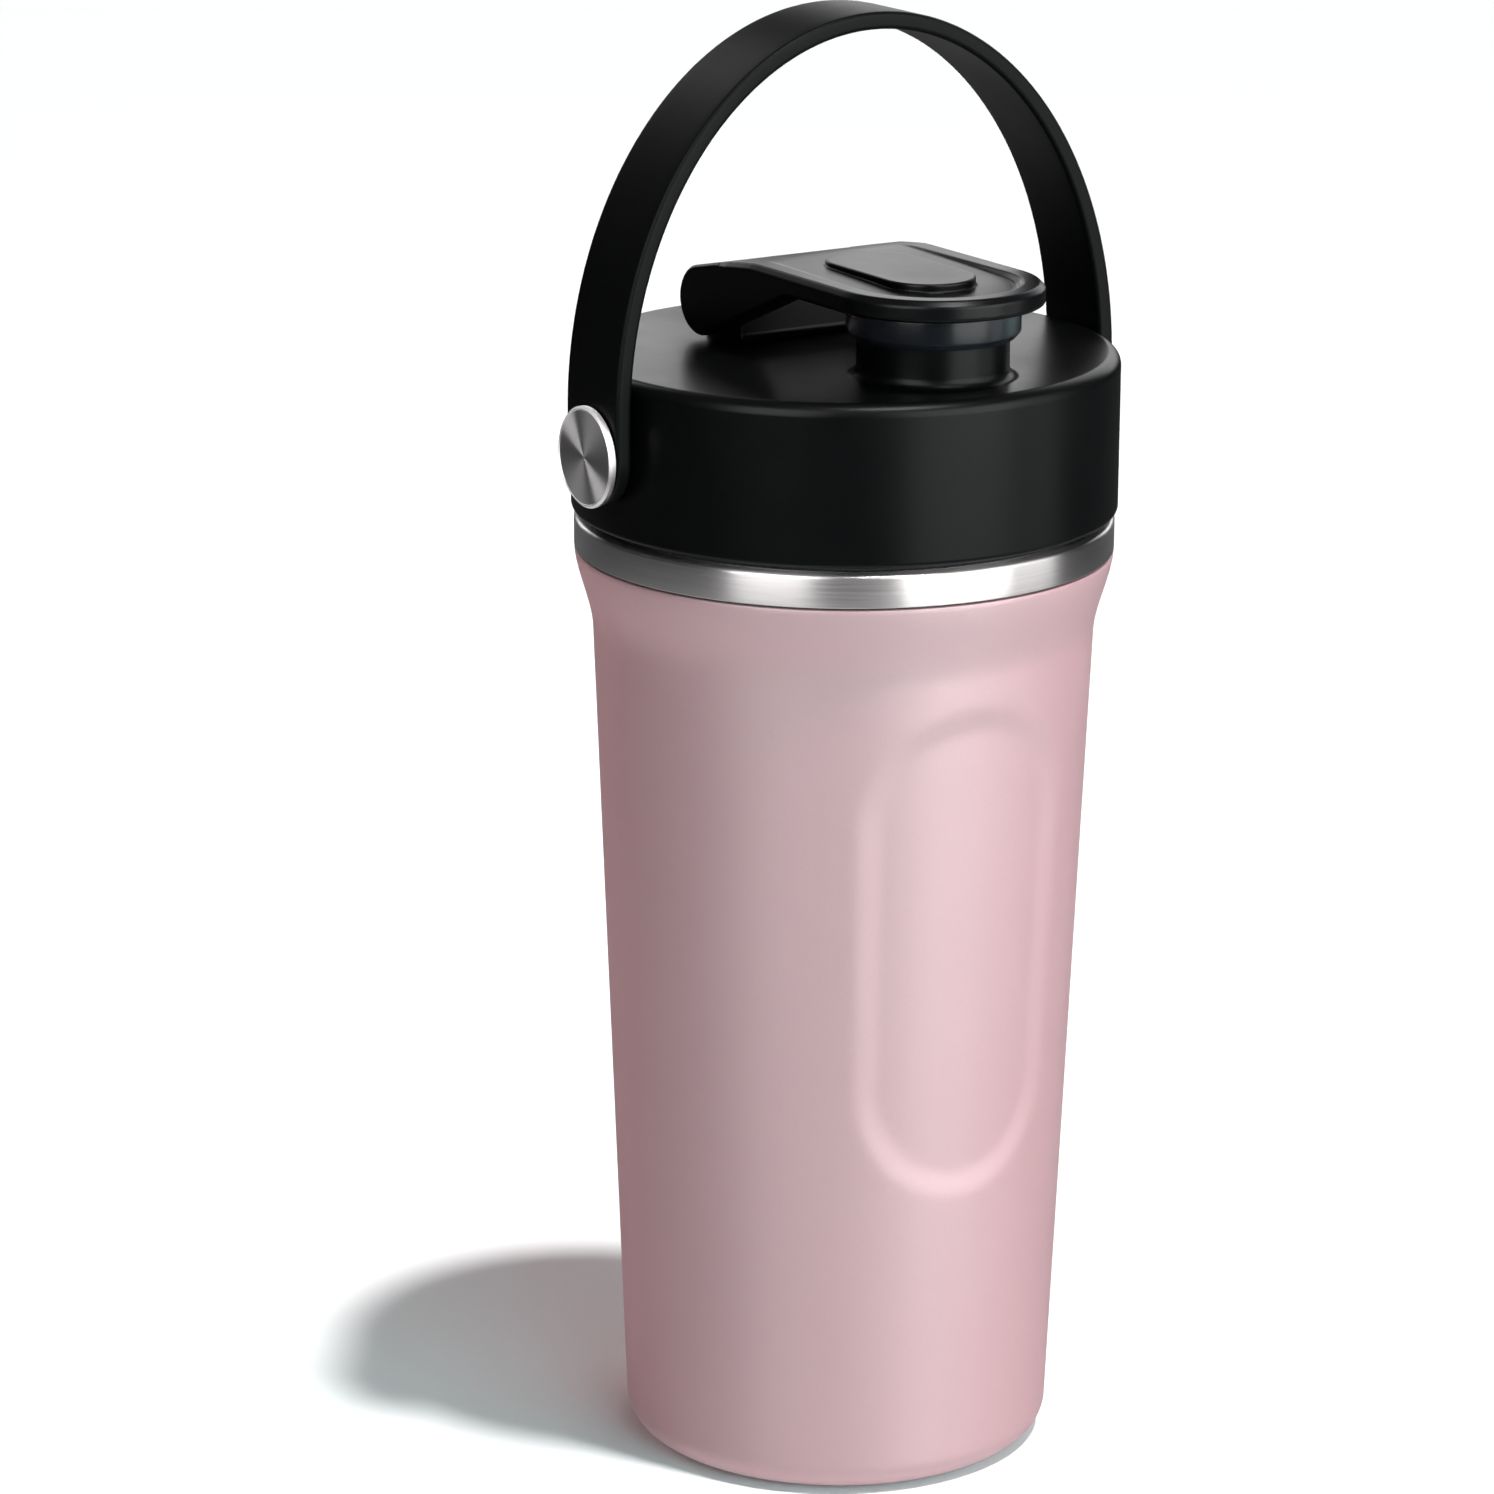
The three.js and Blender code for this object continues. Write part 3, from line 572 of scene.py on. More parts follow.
def base_plate():
    """A pressed sheet, the same thickness all over, that closes the foot."""
    rim = FOOT_INNER - GAP
    sheet = SHELL_WALL
    step = PLATE_SEAT_RADIUS + PLATE_STEP
    return turned("cup_base", rounded([
        (0, PLATE_SEAT),
        (PLATE_SEAT_RADIUS, PLATE_SEAT, 1.2),
        (step, PLATE_DISH, 1.2),
        (PLATE_DISH_RADIUS, PLATE_DISH, 1.6),
        (PLATE_RIM_RADIUS, PLATE_RIM, 1.6),
        (rim, PLATE_RIM, 0.2),
        (rim, PLATE_RIM + sheet, 0.2),
        (PLATE_RIM_RADIUS + 0.5, PLATE_RIM + sheet, 1.0),
        (PLATE_DISH_RADIUS + 0.5, PLATE_DISH + sheet, 1.0),
        (step + sheet, PLATE_DISH + sheet, 0.8),
        (PLATE_SEAT_RADIUS + sheet, PLATE_SEAT + sheet, 0.8),
        (0, PLATE_SEAT + sheet),
    ], 4))


# Lid pieces.

def lid_gasket():
    inner = PLUG_RADIUS + 0.6
    return turned("lid_gasket_ring", rounded([
        (inner, LIP_TOP + GAP, 0.5),
        (FLANGE_RADIUS, LIP_TOP + GAP, 0.5),
        (FLANGE_RADIUS, FLANGE_BOTTOM - GAP, 0.3),
        (inner, FLANGE_BOTTOM - GAP, 0.3),
    ], 4), 192)


def spout():
    root = fillet(SPOUT_RADIUS, LID_TOP, SPOUT_ROOT, 1, 0.12, 10)
    foot = root[0][0] + 0.3
    sunk = LID_TOP - 1
    profile = [(SPOUT_BORE, sunk), (foot, sunk), (foot, LID_TOP - 0.02)]
    profile += root
    profile += arc(SPOUT_RADIUS - SPOUT_LIP, SPOUT_TOP - SPOUT_LIP, SPOUT_LIP, 0, 90, 6)
    profile += arc(SPOUT_BORE + SPOUT_INNER_LIP, SPOUT_TOP - SPOUT_INNER_LIP, SPOUT_INNER_LIP, 90, 180, 6)
    obj = turned("spout", profile, 160)
    obj.data.transform(Matrix.Translation((0, SPOUT_Y * MM, 0)))
    return obj


def hinge_block():
    half_length = EAR_INNER - GAP
    outline = [(HINGE_Y - BLOCK_FOOT, LID_TOP - BLOCK_SUNK)]
    outline += fillet(HINGE_Y - BLOCK_RADIUS, LID_TOP, BLOCK_ROOT, -1, 0.15, 6)
    outline += arc(HINGE_Y, HINGE_Z, BLOCK_RADIUS, 180, 0, 32)
    outline += reversed(fillet(HINGE_Y + BLOCK_RADIUS, LID_TOP, BLOCK_ROOT, 1, 0.15, 6))
    outline += [(HINGE_Y + BLOCK_FOOT, LID_TOP - BLOCK_SUNK)]
    return along_x("block", outline, half_length, BLOCK_EDGE)


def rod_x(name, radius, start, end, y, z, segments=64):
    """A plain cylinder along X, used to cut a hole."""
    obj = turned(name, [(0, start), (radius, start), (radius, end), (0, end)], segments)
    place = Matrix(((0, 0, 1, 0), (0, 1, 0, y * MM), (-1, 0, 0, z * MM), (0, 0, 0, 1)))
    obj.data.transform(place)
    return obj


def lid_body():
    inner = LID_RADIUS - LID_WALL
    profile = rounded([
        (0, LID_TOP - LID_PLATE),
        (inner, LID_TOP - LID_PLATE, 1.0),
        (inner, LID_BOTTOM, 0.3),
        (LID_RADIUS, LID_BOTTOM, 0.9),
        (LID_RADIUS, LID_TOP, LID_FILLET),
        (0, LID_TOP),
    ], 10)
    obj = turned("lid_body", profile, FINE)
    in_wall = inner + 0.5
    bosses = [rod_x("boss", BOSS_RADIUS, *ends, 0, PIVOT_Z)
              for ends in ((BOSS_INNER, in_wall), (-in_wall, -BOSS_INNER))]
    combine(obj, [spout(), hinge_block(), *bosses], "UNION")
    low, high = LID_TOP - 6, LID_TOP + 2
    bore = turned("bore", [(0, low), (SPOUT_BORE, low), (SPOUT_BORE, high), (0, high)], 160)
    bore.data.transform(Matrix.Translation((0, SPOUT_Y * MM, 0)))
    cuts = [bore, rod_x("cut", PIN_BORE, -EAR_INNER - 1, EAR_INNER + 1, HINGE_Y, HINGE_Z)]
    outside = LID_RADIUS + 1
    holes = (
        (INSERT_HOLE, BOSS_INNER - 1, INSERT_END),
        (SHANK_HOLE, BOSS_INNER, outside),
        (RECESS_RADIUS, RECESS_FLOOR, outside),
    )
    for side in (-1, 1):
        for radius, start, end in holes:
            ends = sorted((side * start, side * end))
            cuts.append(rod_x("cut", radius, *ends, 0, PIVOT_Z))
    return combine(obj, cuts, "DIFFERENCE")


def lid_inner():
    heights = np.arange(PLUG_BOTTOM + 0.8, FLANGE_BOTTOM - 0.2, 0.2)
    profile = [
        (PLUG_BORE, PLUG_BOTTOM + 0.2),
        (PLUG_BORE + 0.2, PLUG_BOTTOM),
        (PLUG_RADIUS - 0.6, PLUG_BOTTOM),
        (PLUG_RADIUS - 0.15, PLUG_BOTTOM + 0.25),
    ]
    profile += [(PLUG_RADIUS, z) for z in heights]
    profile += [(PLUG_RADIUS, FLANGE_BOTTOM)]
    profile += rounded([
        (PLUG_RADIUS, FLANGE_BOTTOM),
        (FLANGE_RADIUS, FLANGE_BOTTOM, 0.3),
        (FLANGE_RADIUS, FLANGE_TOP, 0.3),
        (PLUG_RADIUS, FLANGE_TOP),
        (PLUG_RADIUS, PLUG_TOP, 0.2),
        (PLUG_BORE, PLUG_TOP, 0.2),
        (PLUG_BORE, PLUG_BOTTOM),
    ], 3)[1:-1]

    def threaded_skirt(angles, radii, heights):
        outer = (np.abs(radii - PLUG_RADIUS) < 0.01) & (heights < FLANGE_BOTTOM - 0.1)
        height = MOUTH_RADIUS - THREAD_PLAY - PLUG_RADIUS
        return radii + outer * height * ridge_height(angles, heights, PLUG_THREAD_TURN, PLUG_THREAD_Z)

    return turned("lid_inner", profile, 192, threaded_skirt)


def button(side, word):
    """A headed screw. A thin lip stands round its face, which is crowned by a hair."""
    shoulder = BUTTON_FACE - BUTTON_CHAMFER
    rim = BUTTON_RADIUS - BUTTON_CHAMFER - BUTTON_EDGE
    profile = [
        (0, SHANK_END),
        (SHANK_RADIUS - SHANK_CHAMFER, SHANK_END),
        (SHANK_RADIUS, SHANK_END + SHANK_CHAMFER),
        (SHANK_RADIUS, BUTTON_BACK),
        (BUTTON_RADIUS - BUTTON_EDGE, BUTTON_BACK),
        (BUTTON_RADIUS, BUTTON_BACK + BUTTON_EDGE),
        (BUTTON_RADIUS, shoulder - BUTTON_EDGE),
        (BUTTON_RADIUS - BUTTON_EDGE, shoulder),
        (rim, BUTTON_FACE),
        (rim - BUTTON_LIP, BUTTON_FACE),
        (rim - BUTTON_LIP_FOOT, BUTTON_FACE - BUTTON_LIP),
        (BUTTON_CROWN_RADIUS, BUTTON_FACE - 0.08),
        (0, BUTTON_FACE - 0.06),
    ]
    return turned_on_x(f"pivot_button_{word}_head", profile, side, SMALL, 30)


def carry_strap():
    angles = np.linspace(0, math.pi, 721)
    line = np.stack([STRAP_X * np.cos(angles), PIVOT_Z + STRAP_LEG + STRAP_RISE * np.sin(angles)], axis=1)
    line = np.concatenate([[[STRAP_X, PIVOT_Z]], line, [[-STRAP_X, PIVOT_Z]]])
    steps = np.linalg.norm(np.diff(line, axis=0), axis=1)
    travel = np.concatenate([[0], np.cumsum(steps)])
    length = travel[-1]
    half = STRAP_WIDTH / 2
    turns = np.linspace(0, math.pi / 2, 12)
    stations = [(0.0, t) for t in turns[:-1]]
    stations += [(u, None) for u in np.linspace(0, length, 180)]
    stations += [(length, t) for t in turns[:-1][::-1]]
    corner = np.linspace(0, math.pi / 2, 5)
    thin = STRAP_THICKNESS / 2
    sides = [(STRAP_ROUND * (1 - math.sin(t)), thin - STRAP_ROUND * (1 - math.cos(t))) for t in corner]
    across = np.linspace(-1, 1, 9)
    ring = [(STRAP_ROUND, thin, v) for v in across]
    ring += [(inset, up, 1) for inset, up in sides[1:]]
    ring += [(inset, -up, 1) for inset, up in sides[::-1][:-1]]
    ring += [(STRAP_ROUND, -thin, v) for v in across[::-1]]
    ring += [(inset, -up, -1) for inset, up in sides[1:]]
    ring += [(inset, up, -1) for inset, up in sides[::-1][:-1]]
    vertices = []
    for start, turn in stations:
        for inset, up, v in ring:
            reach = half - inset
            if turn is None:
                u, width = start, reach
            else:
                out = reach * math.cos(turn)
                u = start - out if start == 0 else start + out
                width = reach * math.sin(turn)
            vertices.append(on_strap(line, travel, u, v * width, up))
    count = len(ring)
    faces = []
    for s in range(len(stations) - 1):
        for i in range(count):
            j = (i + 1) % count
            faces.append((s * count + i, s * count + j, (s + 1) * count + j, (s + 1) * count + i))
    obj = make("strap", vertices, faces, 50)
    near, far = STRAP_X - STRAP_HOLE_REACH, STRAP_X + STRAP_HOLE_REACH
    holes = [rod_x("hole", STRAP_HOLE, *ends, 0, PIVOT_Z) for ends in ((near, far), (-far, -near))]
    return combine(obj, holes, "DIFFERENCE", 50)


def on_strap(line, travel, u, across, up):
    """The point u along the strap's middle line, moved across its width and out of its surface."""
    inside = min(max(u, 0), travel[-1])
    x = np.interp(inside, travel, line[:, 0])
    z = np.interp(inside, travel, line[:, 1])
    reach = 0.6
    low, high = max(inside - reach, 0), min(inside + reach, travel[-1])
    dx = np.interp(high, travel, line[:, 0]) - np.interp(low, travel, line[:, 0])
    dz = np.interp(high, travel, line[:, 1]) - np.interp(low, travel, line[:, 1])
    size = math.hypot(dx, dz)
    dx, dz = dx / size, dz / size
    beyond = u - inside
    return (x + dx * beyond + dz * up, across, z + dz * beyond - dx * up)


def cap_side():
    """Side outline in Y and Z: a thin front, cheeks that deepen to the hinge and a round rear."""
    outline = [(CAP_PAST_FRONT, CAP_BOTTOM), *CAP_CHEEK]
    outline += arc(HINGE_Y, HINGE_Z, EAR_RADIUS, 240, 435, 60)
    outline += [*CAP_BACK, (0, CAP_TOP), (CAP_PAST_FRONT, CAP_TOP)]
    return outline


def cap_distance(x, y, z):
    """The cap without its thumb pad: a round-fronted plate with a dish on top and a stud beneath."""
    reach = np.where(y < SPOUT_Y, np.hypot(x, np.minimum(y - SPOUT_Y, 0)), np.abs(x))
    plan = reach - CAP_HALF_WIDTH
    side = outline_distance(cap_side(), y, z)
    body = meet(plan, side, CAP_EDGE_ROUND)
    width = np.where(z > (CAP_TOP + CAP_BOTTOM) / 2, CAP_BEVEL, CAP_CHAMFER)
    bevel = (plan + side + width) / math.sqrt(2)
    body = meet(body, bevel, CAP_BEVEL_ROUND)
    between = np.abs(x) - EAR_INNER
    under = meet(between, z - CAP_BOTTOM, INSIDE_ROUND)
    notch = meet(between, NOTCH_FRONT - y, INSIDE_ROUND)
    body = meet(body, -np.minimum(under, notch), INSIDE_EDGE)
    floor = CAP_TOP - (DISH_REAR - y) * DISH_SLOPE
    dish = meet(reach - DISH_RADIUS, floor - z, DISH_CORNER)
    body = meet(body, -dish, DISH_EDGE)
    stud = meet(np.hypot(x, y - SPOUT_Y) - STUD_RADIUS, STUD_BOTTOM - z, STUD_ROUND)
    stud = np.maximum(stud, z - STUD_TOP)
    body = join(body, stud, STUD_ROOT)
    bore = np.maximum(np.hypot(y - HINGE_Y, z - HINGE_Z) - PIN_BORE, np.abs(x) - PIN_END)
    return np.maximum(body, -bore)


def pad_distance(x, y, z):
    """The low raised pad on top, rounder at the front than at the rear."""
    middle = (PAD_FRONT + PAD_REAR) / 2
    half = (PAD_REAR - PAD_FRONT) / 2
    corner = np.where(y < middle, PAD_CORNER, PAD_REAR_CORNER)
    out_x = np.abs(x) - PAD_HALF_WIDTH + corner
    out_y = np.abs(y - middle) - half + corner
    past_corner = np.hypot(np.maximum(out_x, 0), np.maximum(out_y, 0))
    plan = past_corner + np.minimum(np.maximum(out_x, out_y), 0) - corner
    body = meet(plan, z - PAD_TOP, PAD_ROUND)
    return np.maximum(body, PAD_BOTTOM - z)


def flip_cap():
    def whole(x, y, z):
        return join(cap_distance(x, y, z), pad_distance(x, y, z), PAD_ROOT)

    return net("cap_body", whole, CAP_BOX_LOW, CAP_BOX_HIGH, CAP_CELL)


def spout_seal():
    """A plug for the bore and a skirt round the spout, with a socket for the cap's stud."""
    top = CAP_BOTTOM - GAP
    under_web = top - SEAL_WEB
    skirt = SPOUT_RADIUS + GAP
    plug = SPOUT_BORE - GAP
    socket = STUD_RADIUS + GAP
    socket_floor = STUD_BOTTOM - GAP
    profile = rounded([
        (0, SEAL_BOTTOM),
        (plug, SEAL_BOTTOM, 0.9),
        (plug, under_web, 0.3),
        (skirt, under_web, 0.3),
        (skirt, SKIRT_BOTTOM),
        (skirt + SKIRT_WALL, SKIRT_BOTTOM, 0.2),
        (SEAL_RADIUS, SEAL_STEP, 0.5),
        (SEAL_RADIUS, top, 0.5),
        (socket, top),
        (socket, socket_floor),
        (0, socket_floor),
    ], 5)
    obj = turned("cap_seal", profile, 160)
    obj.data.transform(Matrix.Translation((0, SPOUT_Y * MM, 0)))
    return obj


# Materials.

def material(name, **values):
    made = bpy.data.materials.new(name)
    made.use_nodes = True
    shader = made.node_tree.nodes["Principled BSDF"]
    for socket, value in values.items():
        shader.inputs[socket.replace("_", " ")].default_value = value
    return made, made.node_tree, shader


def stretched(tree, scale):
    """Coordinates on the object, in metres, times a scale for each axis."""
    coordinates = tree.nodes.new("ShaderNodeTexCoord")
    mapping = tree.nodes.new("ShaderNodeMapping")
    mapping.inputs["Scale"].default_value = scale
    tree.links.new(coordinates.outputs["Object"], mapping.inputs["Vector"])
    return mapping.outputs["Vector"]


def noise(tree, scale, detail=2.0, rough=0.5):
    node = tree.nodes.new("ShaderNodeTexNoise")
    node.inputs["Scale"].default_value = 1
    node.inputs["Detail"].default_value = detail
    node.inputs["Roughness"].default_value = rough
    size = scale if isinstance(scale, tuple) else (scale,) * 3
    tree.links.new(stretched(tree, size), node.inputs["Vector"])
    return node.outputs["Fac"]


def rings(tree, scale):
    """Fine rings round the pivot axis, as a lathe leaves them."""
    coordinates = tree.nodes.new("ShaderNodeTexCoord")
    mapping = tree.nodes.new("ShaderNodeMapping")
    mapping.inputs["Location"].default_value = (0, 0, -PIVOT_Z * MM * scale)
    mapping.inputs["Scale"].default_value = (0, scale, scale)
    radius = tree.nodes.new("ShaderNodeVectorMath")
    radius.operation = "LENGTH"
    pattern = tree.nodes.new("ShaderNodeTexNoise")
    pattern.noise_dimensions = "1D"
    pattern.inputs["Scale"].default_value = 1
    pattern.inputs["Detail"].default_value = 3
    tree.links.new(coordinates.outputs["Object"], mapping.inputs["Vector"])
    tree.links.new(mapping.outputs["Vector"], radius.inputs[0])
    tree.links.new(radius.outputs["Value"], pattern.inputs["W"])
    return pattern.outputs["Fac"]


def spread(tree, source, low, high, start=0.3, end=0.7):
    """Maps a 0 to 1 pattern on to a range."""
    node = tree.nodes.new("ShaderNodeMapRange")
    node.inputs["From Min"].default_value = start
    node.inputs["From Max"].default_value = end
    node.inputs["To Min"].default_value = low
    node.inputs["To Max"].default_value = high
    tree.links.new(source, node.inputs["Value"])
    return node.outputs["Result"]


def tinted(tree, shader, source, first, second):
    """Varies the base colour between two colours with a pattern."""
    node = tree.nodes.new("ShaderNodeMix")
    node.data_type = "RGBA"
    node.inputs["A"].default_value = (*first, 1)
    node.inputs["B"].default_value = (*second, 1)
    tree.links.new(source, node.inputs["Factor"])
    tree.links.new(node.outputs["Result"], shader.inputs["Base Color"])


def bumped(tree, shader, source, depth, strength=1.0):
    node = tree.nodes.new("ShaderNodeBump")
    node.inputs["Strength"].default_value = strength
    node.inputs["Distance"].default_value = depth * MM
    tree.links.new(source, node.inputs["Height"])
    tree.links.new(node.outputs["Normal"], shader.inputs["Normal"])


def spun(tree, shader, axis, rotation=0.25):
    """Brushing laid out about an axis. A rotation of a quarter turn makes it run round the axis."""
    tangent = tree.nodes.new("ShaderNodeTangent")
    tangent.direction_type = "RADIAL"
    tangent.axis = axis
    tree.links.new(tangent.outputs["Tangent"], shader.inputs["Tangent"])
    shader.inputs["Anisotropic Rotation"].default_value = rotation


def powder_coat():
    """Pink satin coat. Its gloss is stretched along Z, as the photo's soft vertical lights are."""
    made, tree, shader = material(
        "powder_coat",
        Specular_IOR_Level=1.0,
        Anisotropic=0.65,
        Coat_Weight=1.0,
        Coat_Roughness=0.52,
        Coat_IOR=2.0,
    )
    spun(tree, shader, "Z")
    speckle = noise(tree, 5200, 1.5)
    tinted(tree, shader, spread(tree, speckle, 0, 1), (0.485, 0.215, 0.236), (0.515, 0.235, 0.256))
    cloud = noise(tree, 38, 2)
    tree.links.new(spread(tree, cloud, 0.46, 0.54), shader.inputs["Roughness"])
    bumped(tree, shader, noise(tree, 1500, 2.5, 0.6), 0.02, 0.5)
    return made


def satin_steel():
    made, tree, shader = material("satin_steel", Metallic=1.0, Anisotropic=0.9)
    brushed = noise(tree, (60, 60, 9000), 3, 0.6)
    tinted(tree, shader, spread(tree, brushed, 0, 1), (0.7, 0.68, 0.67), (0.8, 0.78, 0.77))
    tree.links.new(spread(tree, brushed, 0.28, 0.38), shader.inputs["Roughness"])
    bumped(tree, shader, brushed, 0.004, 0.4)
    spun(tree, shader, "Z")
    return made


def brushed_steel_inside():
    made, tree, shader = material("brushed_steel_inside", Metallic=1.0, Anisotropic=0.5)
    brushed = noise(tree, (25, 25, 3500), 4, 0.65)
    tinted(tree, shader, spread(tree, brushed, 0, 1), (0.48, 0.47, 0.46), (0.6, 0.585, 0.57))
    tree.links.new(spread(tree, brushed, 0.3, 0.48), shader.inputs["Roughness"])
    bumped(tree, shader, brushed, 0.006, 0.5)
    spun(tree, shader, "Z")
    return made


def button_steel():
    """A turned face. The rotation brings its bright sectors to where the photo has them."""
    made, tree, shader = material("button_steel", Metallic=1.0, Anisotropic=0.97)
    streak = rings(tree, 9000)
    tinted(tree, shader, spread(tree, streak, 0, 1), (0.76, 0.74, 0.735), (0.88, 0.86, 0.85))
    tree.links.new(spread(tree, streak, 0.35, 0.42), shader.inputs["Roughness"])
    bumped(tree, shader, streak, 0.002, 0.3)
    spun(tree, shader, "X", BUTTON_BRUSH_TURN)
    return made


def pin_steel():
    made, tree, shader = material("pin_steel", Metallic=1.0)
    drawn = noise(tree, (300, 5000, 5000), 2)
    tinted(tree, shader, spread(tree, drawn, 0, 1), (0.5, 0.49, 0.48), (0.62, 0.6, 0.59))
    tree.links.new(spread(tree, drawn, 0.3, 0.42), shader.inputs["Roughness"])
    return made


def plain_metal(name, first, second, rough):
    made, tree, shader = material(name, Metallic=1.0)
    mottle = noise(tree, 900, 3, 0.6)
    tinted(tree, shader, spread(tree, mottle, 0, 1), first, second)
    tree.links.new(spread(tree, mottle, rough - 0.06, rough + 0.08), shader.inputs["Roughness"])
    bumped(tree, shader, mottle, 0.01, 0.3)
    return made


def moulded(name, first, second, rough, grain, depth, specular=0.3):
    """Moulded plastic with a fine spark-eroded grain and faint cloudy changes in its gloss."""
    made, tree, shader = material(name, Specular_IOR_Level=specular)
    fine = noise(tree, grain, 2, 0.55)
    tinted(tree, shader, spread(tree, fine, 0, 1), first, second)
    cloud = noise(tree, 60, 3, 0.55)
    tree.links.new(spread(tree, cloud, rough - 0.015, rough + 0.04), shader.inputs["Roughness"])
    bumped(tree, shader, fine, depth, 0.5)
    return made


def smoky_elastomer():
    """A dark soft plastic that lets a little light through."""
    made, tree, shader = material(
        "smoky_elastomer",
        IOR=1.43,
        Specular_IOR_Level=0.3,
        Transmission_Weight=0.35,
    )
    haze = noise(tree, 90, 2)
    tinted(tree, shader, spread(tree, haze, 0, 1), (0.01, 0.0095, 0.013), (0.018, 0.0175, 0.023))
    tree.links.new(spread(tree, haze, 0.2, 0.26), shader.inputs["Roughness"])
    return made


MATERIALS = {
    "powder_coat": powder_coat(),
    "satin_steel": satin_steel(),
    "brushed_steel_inside": brushed_steel_inside(),
    "button_steel": button_steel(),
    "pin_steel": pin_steel(),
    "insert_brass": plain_metal("insert_brass", (0.55, 0.36, 0.13), (0.68, 0.47, 0.2), 0.34),
    "getter_metal": plain_metal("getter_metal", (0.12, 0.11, 0.1), (0.2, 0.18, 0.165), 0.6),
    "seal_glass": plain_metal("seal_glass", (0.3, 0.29, 0.28), (0.42, 0.41, 0.4), 0.4),
    "lid_plastic": moulded(
        "lid_plastic", (0.0014, 0.0014, 0.0015), (0.002, 0.002, 0.0022), 0.3, 2200, 0.004, 0.16),
    "cap_plastic": moulded(
        "cap_plastic", (0.0015, 0.0015, 0.0018), (0.0022, 0.0022, 0.0027), 0.295, 2600, 0.02, 0.2),
    "strap_plastic": moulded(
        "strap_plastic", (0.002, 0.002, 0.0021), (0.003, 0.003, 0.0032), 0.4, 3300, 0.02, 0.1),
    "grid_plastic": moulded(
        "grid_plastic", (0.012, 0.012, 0.013), (0.02, 0.02, 0.021), 0.42, 3000, 0.02),
    "washer_plastic": moulded(
        "washer_plastic", (0.02, 0.02, 0.02), (0.03, 0.03, 0.03), 0.45, 3000, 0.02),
    "black_silicone": moulded(
        "black_silicone", (0.016, 0.016, 0.017), (0.026, 0.026, 0.027), 0.62, 2200, 0.03),
    "smoky_elastomer": smoky_elastomer(),
}


# Assembly.

def finished(obj, body, slot, *nodes):
    obj.data.materials.clear()
    obj.data.materials.append(MATERIALS[slot])
    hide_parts(*nodes)
    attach(obj, body)


finished(outer_shell(), "cup", "powder_coat", "outer_shell")
finished(neck_band(), "cup", "satin_steel", "neck_band")
finished(inner_liner(), "cup", "brushed_steel_inside", "inner_liner")
finished(base_plate(), "cup", "powder_coat", "base_plate")
finished(lid_gasket(), "lid_seal", "black_silicone", "lid_gasket")
finished(lid_body(), "lid", "lid_plastic", "lid_shell")
finished(lid_inner(), "lid", "lid_plastic", "lid_plug")
finished(button(-1, "left"), "lid", "button_steel", "pivot_button_left")
finished(button(1, "right"), "lid", "button_steel", "pivot_button_right")
finished(carry_strap(), "handle", "strap_plastic", "carry_strap")
finished(flip_cap(), "flip_cap", "cap_plastic", "flip_cap")
finished(spout_seal(), "flip_cap", "smoky_elastomer", "spout_seal")

KEPT_NODES = {
    "vacuum_seal_plug": "seal_glass",
    "vacuum_getter": "getter_metal",
    "hinge_pin": "pin_steel",
    "pivot_washer_left": "washer_plastic",
    "pivot_washer_right": "washer_plastic",
    "pivot_insert_left": "insert_brass",
    "pivot_insert_right": "insert_brass",
    "strap_bush_left": "pin_steel",
    "strap_bush_right": "pin_steel",
    "mixing_grid": "grid_plastic",
}
for node, slot in KEPT_NODES.items():
    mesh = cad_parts[node].data
    for index in range(len(mesh.materials)):
        mesh.materials[index] = MATERIALS[slot]


# Studio.

def camera():
    cos_a, sin_a = math.cos(CAMERA_AZIMUTH), math.sin(CAMERA_AZIMUTH)
    cos_e, sin_e = math.cos(CAMERA_DOWN), math.sin(CAMERA_DOWN)
    ahead = Vector((-sin_a * cos_e, cos_a * cos_e, -sin_e))
    level = Vector((cos_a, sin_a, 0))
    down = ahead.cross(level)
    right = level * math.cos(CAMERA_ROLL) + down * math.sin(CAMERA_ROLL)
    down = down * math.cos(CAMERA_ROLL) - level * math.sin(CAMERA_ROLL)
    data = bpy.data.cameras.new("camera")
    data.sensor_width = SENSOR
    data.lens = CAMERA_LENS
    data.clip_start = 0.05
    data.clip_end = 20
    obj = bpy.data.objects.new("camera", data)
    turn = Matrix((right, -down, -ahead)).transposed().to_4x4()
    obj.matrix_world = Matrix.Translation(Vector(CAMERA_AT) * MM) @ turn
    bpy.context.scene.collection.objects.link(obj)
    bpy.context.scene.camera = obj


def direction(right_of_camera, up):
    """Unit vector from the bottle, turned right of the camera and up from the floor, in degrees."""
    turn = CAMERA_AZIMUTH + math.radians(right_of_camera)
    rise = math.radians(up)
    return Vector((math.sin(turn) * math.cos(rise), -math.cos(turn) * math.cos(rise), math.sin(rise)))


def softbox(name, right_of_camera, up, distance, size, power, tint=(1, 1, 1),
            diffuse=True, glossy=True, aim=0.12):
    """A rectangular light aimed at a height on the bottle. Sizes in metres, power in watts."""
    data = bpy.data.lights.new(name, "AREA")
    data.shape = "RECTANGLE"
    data.size, data.size_y = size
    data.energy = power
    data.color = tint
    obj = bpy.data.objects.new(name, data)
    target = Vector((0, 0, aim))
    way = direction(right_of_camera, up)
    obj.location = target + way * distance
    obj.rotation_mode = "QUATERNION"
    obj.rotation_quaternion = (-way).to_track_quat("-Z", "Y")
    obj.visible_diffuse = diffuse
    obj.visible_glossy = glossy
    obj.visible_camera = False
    bpy.context.scene.collection.objects.link(obj)
    return obj


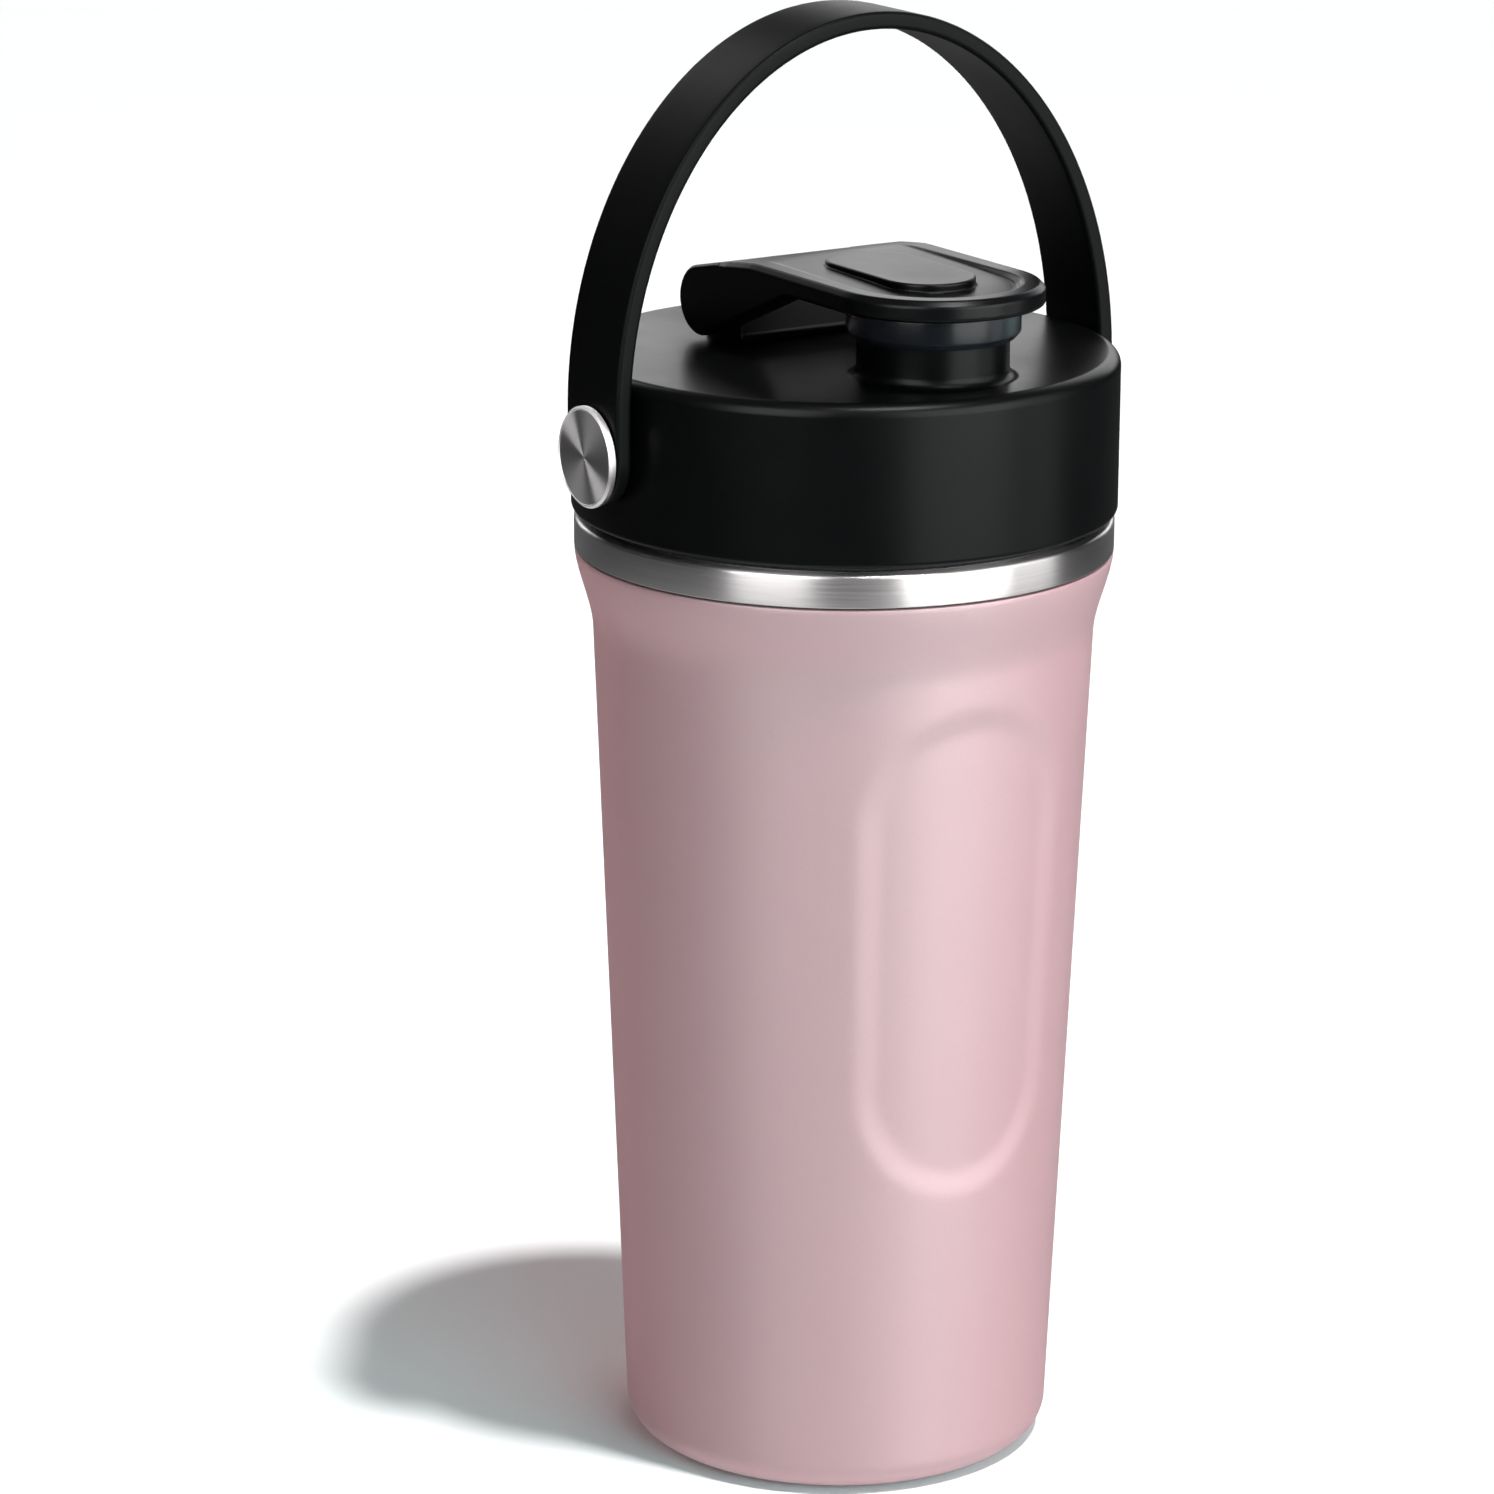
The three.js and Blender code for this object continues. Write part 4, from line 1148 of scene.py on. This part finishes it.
def overhead():
    """The high light that throws the short shadow behind and to the left."""
    data = bpy.data.lights.new("overhead", "SUN")
    data.energy = SUN_STRENGTH
    data.angle = SUN_SIZE
    obj = bpy.data.objects.new("overhead", data)
    way = Vector(SUN_FROM).normalized()
    obj.rotation_mode = "QUATERNION"
    obj.rotation_quaternion = (-way).to_track_quat("-Z", "Y")
    obj.visible_glossy = False
    bpy.context.scene.collection.objects.link(obj)


def floor():
    mesh = bpy.data.meshes.new("floor")
    work = bmesh.new()
    bmesh.ops.create_circle(work, cap_ends=True, segments=128, radius=FLOOR_RADIUS)
    work.to_mesh(mesh)
    work.free()
    obj = bpy.data.objects.new("floor", mesh)
    obj.location = (0, 0, -FLOOR_DROP * MM)
    made, tree, shader = material("floor_white", Roughness=0.9, Specular_IOR_Level=0.0)
    tinted(tree, shader, noise(tree, 3, 2), (0.9, 0.9, 0.9), (0.92, 0.92, 0.92))
    mesh.materials.append(made)
    obj.visible_glossy = False
    bpy.context.scene.collection.objects.link(obj)


def surroundings():
    """A world whose glow depends only on the height of the direction, from -1 down to 1 up."""
    world = bpy.data.worlds.new("studio")
    world.use_nodes = True
    tree = world.node_tree
    background = tree.nodes["Background"]
    background.inputs["Color"].default_value = (1, 1, 1.03, 1)
    coordinates = tree.nodes.new("ShaderNodeTexCoord")
    split = tree.nodes.new("ShaderNodeSeparateXYZ")
    tree.links.new(coordinates.outputs["Generated"], split.inputs["Vector"])
    ramp = tree.nodes.new("ShaderNodeValToRGB")
    stops = ramp.color_ramp.elements
    for height, glow in GLOW_BY_HEIGHT[1:-1]:
        stops.new((height + 1) / 2).color = (glow, glow, glow, 1)
    for stop, (height, glow) in ((stops[0], GLOW_BY_HEIGHT[0]), (stops[-1], GLOW_BY_HEIGHT[-1])):
        stop.color = (glow, glow, glow, 1)
    tree.links.new(spread(tree, split.outputs["Z"], 0, 1, -1, 1), ramp.inputs["Fac"])
    tree.links.new(ramp.outputs["Color"], background.inputs["Strength"])
    bpy.context.scene.world = world
    bpy.context.scene.view_settings.view_transform = "Standard"


camera()
floor()
surroundings()
overhead()
softbox("key", 48, 15, 1.25, (1.14, 1.2), 17.5, diffuse=False)
softbox("wing", 86, 14, 1.25, (0.5, 1.2), 3, diffuse=False)
softbox("fill", 35, 10, 1.25, (1.2, 1.2), 16.5, (0.57, 1, 1), glossy=False)
softbox("flank", 118, 0, 1.2, (0.5, 0.2), 8, (0.75, 1, 1), glossy=False, aim=0.1)
softbox("strip", -31, 28, 1.25, (0.76, 1.2), 10.6, diffuse=False)
softbox("rim", -150, 26, 1.1, (0.3, 0.7), 1.2, diffuse=False)
softbox("glow", -171, 11, 0.5, (0.1, 0.14), 0.09, diffuse=False, aim=0.2)
softbox("edge", -143, 0, 1.1, (0.3, 0.2), 7, (1, 0.8, 0.8), glossy=False, aim=0.1)
softbox("back", 160, 18, 0.55, (0.42, 0.3), 0.66, aim=0.21)
softbox("high", 36, 66, 1.0, (0.35, 0.25), 6, diffuse=False, aim=0.2)
